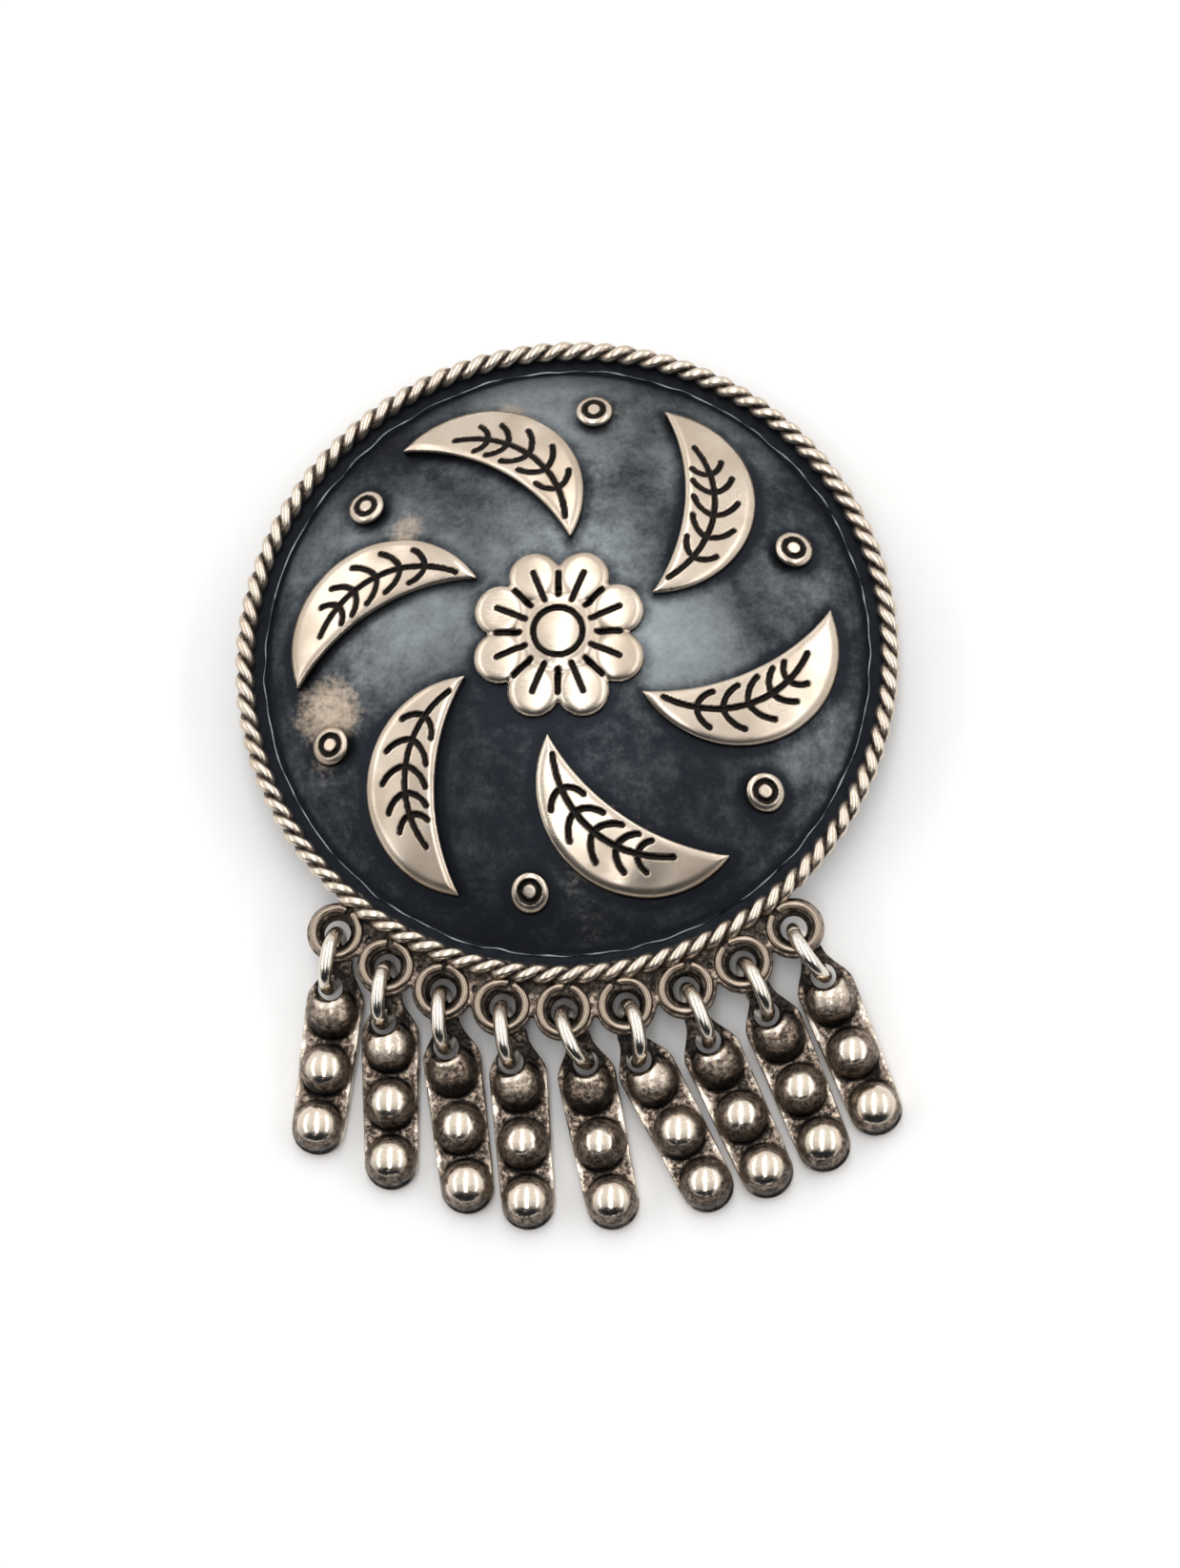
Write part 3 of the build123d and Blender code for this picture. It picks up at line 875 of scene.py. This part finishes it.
def leaf_outline(sizes, number, steps=60):
    """A leaf between its outer and its inner arc."""
    start = motif_start(sizes, number)
    base, outer, inner, tip = (polar(sizes, share, start + degrees) for share, degrees in LEAF.values())
    return np.concatenate([arc(base, outer, tip, steps)[:-1], arc(tip, inner, base, steps)[:-1]])


def berry_outline(sizes, number, steps=40):
    """A berry between two leaves."""
    share, degrees = BERRY["place"]
    middle = polar(sizes, share, motif_start(sizes, number) + degrees)
    return circle(middle, BERRY["radius"] * sizes.dome_radius, steps)


def petal_turn(sizes, number):
    """The angle in degrees of a petal's middle."""
    return ROSETTE_START + 360 / sizes.petal_count * (number + 0.5)


def flower_outlines(sizes, steps=48):
    """The flower's heart, then its petals."""
    outlines = [circle((0, 0), FLOWER["heart_radius"] * sizes.dome_radius, steps)]
    for number in range(sizes.petal_count):
        middle = polar(sizes, FLOWER["petal_place"], petal_turn(sizes, number))
        outlines.append(circle(middle, FLOWER["petal_radius"] * sizes.dome_radius, steps))
    return outlines


def rosette_outlines(sizes, steps):
    """All the outlines of the rosette."""
    leaves = [leaf_outline(sizes, number, steps) for number in range(sizes.leaf_count)]
    berries = [berry_outline(sizes, number, steps) for number in range(sizes.leaf_count)]
    return leaves + berries + flower_outlines(sizes, steps)


def leaf_lines(sizes, start):
    """A leaf's engraved midrib and side veins."""
    base, middle, tip = (polar(sizes, share, start + degrees) for share, degrees in MIDRIB.values())
    rib = arc(base, middle, tip, MIDRIB_STEPS)
    lines = [rib]
    for step in VEIN_STEPS:
        along = rib[step + 1] - rib[step]
        along /= np.hypot(*along)
        across = np.array([along[1], -along[0]])
        reach = VEIN_REACH * math.sin(math.pi * (step + 4) / (MIDRIB_STEPS + 4))
        for side in (across, -across):
            first = rib[step] + VEIN_START * side
            bend, last = (first + reach * (out * side + on * along) for out, on in (VEIN_BEND, VEIN_END))
            lines.append(arc(first, bend, last, 7))
    return lines


class BROOCH_OT_add_dome(bpy.types.Operator):
    """Add the oxidised dome with its flange and the solder line round its foot"""

    bl_idname = "brooch.add_dome"
    bl_label = "Dome and flange"

    def execute(self, context):
        sizes = sizes_in_mm(context)
        shape = dome_shape(sizes)
        finish_piece("domed_front", shape, "oxidised_dome", foot=self.foot(sizes, shape[0]))
        line = solder_shape(sizes)
        wear = 0.70 + 0.25 * ripple(line[0][:, :2], 4.0, SEEDS["solder_wear"])
        finish_piece("solder_line", line, "solder_silver", wear=wear)
        return {"FINISHED"}

    def foot(self, sizes, points):
        """How dark the oxide and its painted shade are: most at the rosette's foot and by the rope, and -1
        on the back.
        """
        band, black, outline_steps = (0.1, 1.2), 1.6, 24
        radius = np.hypot(points[:, 0], points[:, 1])
        on_front = points[:, 2] > sizes.flange_top + 0.1
        middle = np.maximum((sizes.ball_radius - sizes.dome_sheet / 2) ** 2 - radius**2, 0)
        back = (radius < sizes.dome_radius) & (points[:, 2] < sizes.ball_z + np.sqrt(middle))
        back |= points[:, 2] < sizes.flange_lift + 0.1
        front = np.flatnonzero(on_front & (radius < sizes.dome_radius))
        away = np.full(len(points), np.inf)
        for outline in rosette_outlines(sizes, outline_steps):
            near = line_distance(points[front, :2], looped(outline))
            away[front] = np.minimum(away[front], near)
        # Black by the rope: oxide in the channel and painted shade.
        by_rope = black * ease(radius, 0.975 * sizes.dome_radius, sizes.dome_radius)
        return np.where(back, -1.0, np.maximum(1 - ease(away, *band), by_rope))


class BROOCH_OT_add_rosette(bpy.types.Operator):
    """Add the raised leaves, berries and flower with their engraved lines"""

    bl_idname = "brooch.add_rosette"
    bl_label = "Leaf rosette"

    def execute(self, context):
        sizes = sizes_in_mm(context)
        for number in range(sizes.leaf_count):
            lines = leaf_lines(sizes, motif_start(sizes, number))
            relief(sizes, f"leaf_{number + 1}", [leaf_outline(sizes, number)], lines)
            outline = berry_outline(sizes, number)
            ring = circle(outline.mean(0), BERRY["radius"] * sizes.dome_radius / 2, 24)
            relief(sizes, f"berry_{number + 1}", [outline], [looped(ring)])
        self.add_flower(sizes)
        return {"FINISHED"}

    def add_flower(self, sizes):
        """The flower in the middle: a heart with a ring round it and a petal on each side."""
        outlines = flower_outlines(sizes)
        petal = FLOWER["petal_radius"] * sizes.dome_radius
        ring = FLOWER["ring_radius"] * sizes.dome_radius
        lines = [looped(circle((0, 0), ring, 60))]
        for number in range(sizes.petal_count):
            turn = petal_turn(sizes, number)
            for ends, degrees in ((PETAL_LINE, turn), (GAP_LINE, turn + 180 / sizes.petal_count)):
                first, last = (polar(sizes, share, degrees) for share in ends)
                lines.append(np.linspace(first, last, 5))
        middles = [outline.mean(0) for outline in outlines[1:]]

        def crown(places):
            petal_fall, heart_fall = 0.12, 0.2
            away = np.hypot(*places.T)
            near = np.min([np.hypot(*(places - middle).T) for middle in middles], axis=0) / petal
            petals = -petal_fall * np.clip(near, 0, 1.2) ** 2 * ease(away, ring, ring + 0.8)
            return petals - heart_fall * (away / ring) ** 2 * (away < ring)

        relief(sizes, "flower", outlines, lines, crown)


class BROOCH_OT_add_rope(bpy.types.Operator):
    """Add the rope border, two twisted wires"""

    bl_idname = "brooch.add_rope"
    bl_label = "Rope border"

    def execute(self, context):
        sizes = sizes_in_mm(context)
        shape = join([strand_shape(sizes, 0.0), strand_shape(sizes, math.pi)])
        finish_piece("rope_border", shape, "rope_silver", wear=rope_wear_and_shade(sizes, shape[0]))
        return {"FINISHED"}


class BROOCH_OT_add_eyelets(bpy.types.Operator):
    """Add the tabs along the lower edge and the split wire eyelets on them"""

    bl_idname = "brooch.add_eyelets"
    bl_label = "Eyelets"

    def execute(self, context):
        sizes = sizes_in_mm(context)
        shapes = [self.web(sizes)]
        for index in range(DROP_COUNT):
            shapes.append(placed(self.tab(sizes), eyelet_place(sizes, index)))
        points, faces = fused(join(shapes), TAB_SKIN)
        points[:, 2] += 0.02 * ripple(points, 2.2, SEEDS["tabs"])
        finish_piece("eyelet_tabs", (points, faces), "eyelet_silver", wear=self.plate_wear(sizes, points))
        random = np.random.default_rng(SEEDS["eyelet_turns"])
        for index in range(DROP_COUNT):
            place = eyelet_place(sizes, index) @ spin(random.uniform(-24, 24))
            shape = self.wire(sizes, index)
            # Rubbed bright on top, and darkened low down with painted shade where the wire meets its tab.
            wear = 0.25 + 0.70 * ease(shape[0][:, 2], sizes.flange_top + 0.15, sizes.flange_top + 0.50)
            finish_piece(f"eyelet_{index + 1}", shape, "eyelet_silver", place, wear=wear)
        return {"FINISHED"}

    def web(self, sizes):
        """The strip of sheet between the flange and the tabs."""
        half = sizes.eyelet_step * ((DROP_COUNT - 1) / 2 + 0.25)
        ring = direction(np.linspace(-math.pi / 2 - half, -math.pi / 2 + half, WEB_STEPS))
        seat = sizes.flange_radius - 1.5
        outline = np.vstack([ring * seat, ring[::-1] * (sizes.flange_radius + sizes.web_width)])
        return prism(outline[::-1], sizes.flange_lift, sizes.flange_top)

    def tab(self, sizes):
        """A tab with its hole and a shallow step round the hole."""
        hole, low, high = sizes.eyelet_hole / 2, sizes.flange_lift, sizes.flange_top
        step, floor = hole + 0.28, high - 0.38
        profile = [(hole, low), (sizes.tab_radius, low), (sizes.tab_radius, high)]
        profile += [(step, high), (step, floor), (hole, floor)]
        return lathe(profile, TAB_HOLE_STEPS)

    def wire(self, sizes, index):
        """A split ring of round wire lying on its tab."""
        random = np.random.default_rng(SEEDS["eyelet"] + index)
        radius = (sizes.eyelet_width - sizes.eyelet_wire) / 2
        split = math.radians(3.5 + random.uniform(0, 3.5))
        turns = np.linspace(math.pi / 2 + split, 5 * math.pi / 2 - split, EYELET_STEPS)
        oval = 1 + 0.02 * np.sin(2 * turns + random.uniform(0, 6))
        end = np.minimum(turns - turns[0], turns[-1] - turns) * radius
        thick = sizes.eyelet_wire / 2 * np.sqrt(np.clip(0.55 + end / 0.12, 0.3, 1))
        level = sizes.flange_top + sizes.eyelet_wire / 2 - 0.08
        return bent_wire(turns, radius * oval, thick, level, EYELET_SIDES, closed=False)

    def plate_wear(self, sizes, points):
        """The tabs are dark on top and brighter at their edges."""
        best = np.full(len(points), np.inf)
        for index in range(DROP_COUNT):
            middle = eyelet_place(sizes, index).translation
            best = np.minimum(best, np.hypot(points[:, 0] - middle.x, points[:, 1] - middle.y))
        rim = ease(best, sizes.tab_radius - 0.35, sizes.tab_radius - 0.05)
        radius = np.hypot(points[:, 0], points[:, 1])
        rim *= ease(radius, sizes.flange_radius + 1.0, sizes.flange_radius + 1.6)
        return 0.12 + 0.36 * rim * ease(points[:, 2], sizes.flange_lift, sizes.flange_top)


class BROOCH_OT_add_jump_rings(bpy.types.Operator):
    """Add the jump rings, each with its cut pressed shut"""

    bl_idname = "brooch.add_jump_rings"
    bl_label = "Jump rings"

    def execute(self, context):
        sizes = sizes_in_mm(context)
        for index, lie in enumerate(LIES):
            name, shape = f"ring_{index + 1}", self.ring(sizes, index)
            place = self.place(sizes, index, lie)
            finish_piece(name, shape, "bright_wire", place, f"jump_{name}", "worn_silver")
        return {"FINISHED"}

    def place(self, sizes, index, lie):
        """On edge through its eyelet, leaning about the line between its two holes."""
        on_edge = Matrix.Rotation(math.pi / 2, 4, "Y")
        upright = Matrix.Translation((0, -sizes.ring_radius, sizes.ring_z)) @ on_edge
        slope = math.atan2(sizes.ring_z - sizes.hole_z, sizes.hole_reach)
        level = Matrix.Rotation(slope, 4, "X") @ Matrix.Translation((0, 0, -sizes.ring_z))
        lean = level.inverted() @ Matrix.Rotation(math.radians(lie.lean), 4, "Y") @ level
        return hang_place(sizes, index) @ spin(lie.ring) @ lean @ upright

    def ring(self, sizes, index):
        """A round ring with a fine cut and a slightly uneven wire."""
        cut = np.random.default_rng(SEEDS["ring"] + index).uniform(1.2, 2.4)
        cut_width, cut_depth = 0.07, 0.16
        turns = full_turn(RING_STEPS)
        away = np.abs((turns - cut + np.pi) % (2 * np.pi) - np.pi) * sizes.ring_radius
        thick = sizes.ring_wire / 2 * (1 - cut_depth * np.exp(-((away / cut_width) ** 2)))
        worn = 1 + ripple(turns[:, None] * 2.4, 2.5, SEEDS["ring_wire"] + index)
        return bent_wire(turns, sizes.ring_radius, thick * (1 - 0.012 * worn), 0.0, RING_SIDES)


class BROOCH_OT_add_drops(bpy.types.Operator):
    """Add the drops: pitted bars with their rows of half balls"""

    bl_idname = "brooch.add_drops"
    bl_label = "Drops"

    def execute(self, context):
        sizes = sizes_in_mm(context)
        for index, lie in enumerate(LIES):
            points, faces = self.drop(sizes, lie.side)
            share, ball = self.ball_share(sizes, points, lie.side)
            wear = self.wear(sizes, points, lie.side, index, share, ball)
            points[:, 2] += self.dents(points, index) * (1 - share)
            place = (
                hang_place(sizes, index)
                @ spin(lie.ring)
                @ Matrix.Translation((lie.play, -sizes.hole_reach, sizes.hole_z))
                @ spin(lie.drop - lie.ring)
                @ Matrix.Rotation(sizes.drop_tilt, 4, "X")
            )
            name, shape = f"drop_{index + 1}", (points, faces)
            finish_piece(f"beaded_{name}", shape, "drop_silver", place, name, "worn_silver", wear=wear)
        return {"FINISHED"}

    def outline(self, sizes):
        """A drop from above, anticlockwise: a narrow round top, sloping shoulders and a tapered body."""
        top, body, end = sizes.drop_top / 2, sizes.drop_width / 2, sizes.drop_end / 2
        top_y = sizes.drop_lip - top
        body_y = top_y - sizes.shoulder_length
        end_y = end - sizes.drop_tail
        share = np.linspace(0, 1, 22)
        widen = share * share * (3 - 2 * share)
        shoulder = np.column_stack([top + (body - top) * widen, top_y + (body_y - top_y) * share])
        quarter = np.linspace(0, math.pi / 2, 16)
        right = np.vstack([
            np.column_stack([top * np.sin(quarter), top_y + top * np.cos(quarter)])[:-1],
            shoulder,
            np.column_stack([end * np.cos(quarter), end_y - end * np.sin(quarter)]),
        ])
        left = right[1:-1][::-1] * (-1, 1)
        return np.vstack([right, left])[::-1]

    def ball(self, sizes):
        """A half ball with a foot inside the bar."""
        half, foot_depth = sizes.ball_width / 2, 0.3
        radius = (half**2 + sizes.ball_rise**2) / (2 * sizes.ball_rise)
        middle = sizes.ball_rise - radius
        start = math.asin(max(-middle, 0) / radius)
        turns = np.linspace(math.pi / 2, start, BALL_ROWS)[1:]
        profile = [(0.0, sizes.ball_rise)]
        profile += [(radius * math.cos(turn), middle + radius * math.sin(turn)) for turn in turns]
        return lathe(profile + [(half * 0.98, -foot_depth), (0.0, -foot_depth)], BALL_STEPS)

    def drop(self, sizes, side):
        """The fused bar and balls with the drilled and scooped hole, round the hole's middle."""
        half = sizes.drop_sheet / 2
        shapes = [prism(self.outline(sizes), -half, half)]
        for number in range(sizes.ball_count):
            points, faces = self.ball(sizes)
            shapes.append((points + (0, -sizes.ball_first - number * sizes.ball_pitch, half), faces))
        points, faces = join(shapes)
        hole, scoop, flare = sizes.drop_hole / 2, sizes.drop_scoop / 2, sizes.drop_flare / 2
        above = 4.0
        tool = [(0.0, above), (scoop, above), (scoop, half), (hole, half), (hole, 0.0)]
        tool += [(flare, -half), (flare, -2 * half), (0.0, -2 * half)]
        return fused((points - (side, 0, 0), faces), DROP_SKIN, lathe(tool, DROP_HOLE_STEPS))

    def ball_share(self, sizes, points, side):
        """How much each point belongs to a ball, and the number of the ball."""
        share, ball = np.zeros(len(points)), np.zeros(len(points), int)
        half, top = sizes.ball_width / 2, sizes.drop_sheet / 2
        for number in range(sizes.ball_count):
            middle_y = -sizes.ball_first - number * sizes.ball_pitch
            across = np.hypot(points[:, 0] + side, points[:, 1] - middle_y)
            near = 1 - ease(across, 0.93 * half, 1.02 * half)
            near *= ease(points[:, 2], top + 0.05, top + 0.35)
            ball = np.where(near > share, number, ball)
            share = np.maximum(share, near)
        return share, ball

    def wear(self, sizes, points, side, index, share, ball):
        """The wear of the balls and, between them, of the bar, with their painted shade."""
        bar = self.bar_wear_and_shade(sizes, points, side, index)
        return np.clip(share * self.ball_wear_and_shade(sizes, points, side, index, ball) + (1 - share) * bar, 0, 1)

    def ball_wear_and_shade(self, sizes, points, side, index, ball):
        """A ball has a bright cap, a darker rim and a lower third darkened with painted shade, and the
        first is the dullest.
        """
        random = np.random.default_rng(SEEDS["ball_wear_and_shade"] + index)
        grow = random.uniform(-0.12, 0.10, sizes.ball_count)[ball]
        first, second = ball == 0, ball == 1
        cap_y = 0.15 - sizes.ball_first - ball * sizes.ball_pitch
        across = np.hypot(points[:, 0] + side, points[:, 1] - cap_y) / (sizes.ball_width / 2)
        cap_low = np.where(second, 0.40, 0.55) + grow
        cap_high = np.where(second, 0.84, 0.92) + grow
        cap = 1 - ease(across, cap_low, cap_high)
        best = np.where(first, 0.64 + 1.2 * grow, 1.0)
        rim = np.where(first, 0.20, 0.33)
        from_hole = np.hypot(points[:, 0], points[:, 1]) - sizes.drop_scoop / 2
        notch = np.exp(-(((from_hole - 0.2) / 0.25) ** 2)) * first
        # Painted shade: the ball darkens below its cap, towards the drop's end.
        under = ease(cap_y - 0.30 - points[:, 1], 0.0, 0.8 * sizes.ball_width / 2)
        return rim - 0.14 * under + (best - rim) * cap + 0.32 * notch

    def bar_wear_and_shade(self, sizes, points, side, index):
        """A bar's flanks are rubbed, its neck is dark, and the corners round its balls are darkened with
        painted shade and dirt, most below them.
        """
        from_middle = np.abs(points[:, 0] + side)
        flank = ease(from_middle, 0.30 * sizes.drop_width, 0.46 * sizes.drop_width)
        neck = 1 - ease(-points[:, 1], 0.0, 3.2)
        corner = np.zeros(len(points))
        # The corners round the balls are darkened with painted shade and dirt, most below each ball.
        for number in range(sizes.ball_count):
            above = points[:, 1] + sizes.ball_first + number * sizes.ball_pitch
            off_ball = np.hypot(points[:, 0] + side, above) - sizes.ball_width / 2
            under = 1 + 0.7 * ease(-above, 0.5, 2.0)
            corner = np.maximum(corner, under * np.exp(-(((off_ball - 0.02) / 0.28) ** 2)))
        bar = 0.36 + 0.38 * flank + 0.10 * ripple(points, 2.5, SEEDS["bar_wear_and_shade"] + index)
        return bar - 0.30 * neck - 0.26 * corner * (points[:, 2] > 0.3) * (1 - flank)

    def dents(self, points, index):
        """How far the bar's uneven, hammered skin rises at each point."""
        rough = ripple(points, 1.1, SEEDS["dents"] + index)
        rough += 0.7 * ripple(points, 0.55, SEEDS["fine_dents"] + index)
        return 0.03 * rough * (points[:, 2] > 0.1)


class BROOCH_OT_add_pin(bpy.types.Operator):
    """Finish the plain pin on the back, which keeps its solid"""

    bl_idname = "brooch.add_pin"
    bl_label = "Pin on the back"

    def execute(self, context):
        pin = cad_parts["pin_back"]
        pin.data.materials.clear()
        pin.data.materials.append(bpy.data.materials["satin_silver"])
        sharp = math.radians(40)
        bevel = {"width": 0.12 * MM, "segments": 3, "limit_method": "ANGLE", "angle_limit": sharp}
        modify(pin, "softened_edges", "BEVEL", **bevel)
        return {"FINISHED"}


class BROOCH_OT_mix_finishes(bpy.types.Operator):
    """Mix the finishes that the pieces share"""

    bl_idname = "brooch.mix_finishes"
    bl_label = "Finishes"

    def execute(self, context):
        colours = context.scene.brooch_colours
        oxidised_silver(colours)
        pale_solder(colours)
        worn_silver("polished_relief", colours, colours.soft_silver, 0.27, patches=0.32, uneven=0.18)
        worn_silver("rope_silver", colours, colours.soft_silver, 0.26, patches=0.25, uneven=0.22)
        worn_silver("eyelet_silver", colours, colours.dull_silver, 0.27, patches=0.0, pits=0.02)
        worn_silver("bright_wire", colours, colours.white_silver, 0.16, patches=0.04, uneven=0.12)
        worn_silver("drop_silver", colours, colours.silver, 0.15, patches=0.12, pits=0.05, uneven=0.28)
        worn_silver("satin_silver", colours, colours.silver, 0.30, patches=0.20, wear=0.8)
        return {"FINISHED"}


class BROOCH_OT_set_stage(bpy.types.Operator):
    """Set the floor, the soft lights and the camera"""

    bl_idname = "brooch.set_stage"
    bl_label = "Stage"

    def execute(self, context):
        stage = context.scene.brooch_stage
        self.floor(stage)
        self.sky(context, stage)
        for name, (side, width) in STRIPS.items():
            self.strip(name, side, width, stage)
        self.camera(context, stage)
        context.scene.view_settings.view_transform = "Standard"
        context.scene.view_settings.exposure = stage.exposure
        return {"FINISHED"}

    def floor(self, stage):
        """A wide pale floor under the brooch."""
        half = 1200.0
        corners = np.array([(-half, -half, 0), (half, -half, 0), (half, half, 0), (-half, half, 0)])
        mesh = build_mesh("floor", corners * MM, [[0, 1, 2, 3]])
        bench = Bench(bpy.data.materials.new("pale_floor"))
        grain = bench.spread(bench.noise(40.0), 0.3, 0.7)
        shade = [part * 0.985 for part in stage.floor]
        bench.coat(base_color=bench.blend(grain, shade, stage.floor), roughness=0.9)
        mesh.materials.append(bench.owner)
        link("floor", mesh)

    def sky(self, context, stage):
        """An even bright sky, with a dark room low down on the lower edge's side."""
        bench = Bench(bpy.data.worlds.new("studio"), "Generated")
        context.scene.world = bench.owner
        ahead = bench.add("ShaderNodeSeparateXYZ", {0: bench.place}).outputs["Y"]
        room = bench.spread(ahead, -0.62, -0.44, 1.0, 0.0)
        strength = bench.spread(ahead, -0.55, 0.2, 0.55 * stage.sky_strength, stage.sky_strength)
        bench.coat(color=bench.blend(room, stage.sky, stage.dark_side), strength=strength)

    def strip(self, name, side, width, stage):
        """A long light that hangs level along y; side and width are shares of its height."""
        high = stage.strip_height
        lamp = bpy.data.lights.new(name, "AREA")
        lamp.shape = "RECTANGLE"
        lamp.size, lamp.size_y = width * high, STRIP_LENGTH * high
        lamp.energy = stage.strip_radiance * math.pi * lamp.size * lamp.size_y
        place = (DISC_X * MM + side * high, DISC_Y * MM + STRIP_FORWARD * high, high)
        link(name, lamp).location = place

    def camera(self, context, stage):
        """The camera, which looks down on the brooch, its picture turned by roll."""
        turn, height, roll = stage.azimuth, stage.elevation, stage.roll
        level = math.cos(height)
        back = Vector((math.sin(turn) * level, -math.cos(turn) * level, math.sin(height)))
        right = (-back).cross(Vector((0, 0, 1))).normalized()
        up = right.cross(-back)
        rolled_right = math.cos(roll) * right + math.sin(roll) * up
        rolled_up = -math.sin(roll) * right + math.cos(roll) * up
        turned = Matrix((rolled_right, rolled_up, back)).transposed().to_4x4()
        target = Vector((stage.target_x + DISC_X * MM, stage.target_y + DISC_Y * MM, 0.0))
        lens = bpy.data.cameras.new("camera")
        lens.sensor_fit = "VERTICAL"
        lens.angle = stage.view_height
        lens.clip_start = 0.01
        camera = link("camera", lens)
        camera.matrix_world = Matrix.Translation(target + back * stage.distance) @ turned
        context.scene.camera = camera


OPERATORS = [
    BROOCH_OT_mix_finishes,
    BROOCH_OT_add_dome,
    BROOCH_OT_add_rosette,
    BROOCH_OT_add_rope,
    BROOCH_OT_add_eyelets,
    BROOCH_OT_add_jump_rings,
    BROOCH_OT_add_drops,
    BROOCH_OT_add_pin,
    BROOCH_OT_set_stage,
]


class BROOCH_PT_pieces(bpy.types.Panel):
    """Lists the brooch's pieces"""

    bl_idname = "BROOCH_PT_pieces"
    bl_label = "Brooch"
    bl_space_type = "VIEW_3D"
    bl_region_type = "UI"
    bl_category = "Brooch"

    def draw(self, context):
        column = self.layout.column()
        for operator in OPERATORS:
            column.operator(operator.bl_idname)
        for group, kind in GROUPS.items():
            for name in kind.__annotations__:
                column.prop(getattr(context.scene, group), name)


GROUPS = {"brooch_sizes": BroochSizes, "brooch_colours": BroochColours, "brooch_stage": BroochStage}


def register():
    """Registers the property groups, the operators and the panel."""
    for name, group in GROUPS.items():
        bpy.utils.register_class(group)
        setattr(bpy.types.Scene, name, bpy.props.PointerProperty(type=group))
    for operator in OPERATORS:
        bpy.utils.register_class(operator)
    bpy.utils.register_class(BROOCH_PT_pieces)


def unregister():
    """Takes them away again."""
    bpy.utils.unregister_class(BROOCH_PT_pieces)
    for operator in reversed(OPERATORS):
        bpy.utils.unregister_class(operator)
    for name, group in GROUPS.items():
        delattr(bpy.types.Scene, name)
        bpy.utils.unregister_class(group)


def main():
    """Builds the brooch and its stage."""
    register()
    for operator in OPERATORS:
        group, name = operator.bl_idname.split(".")
        getattr(getattr(bpy.ops, group), name)()


if __name__ == "__main__":
    main()
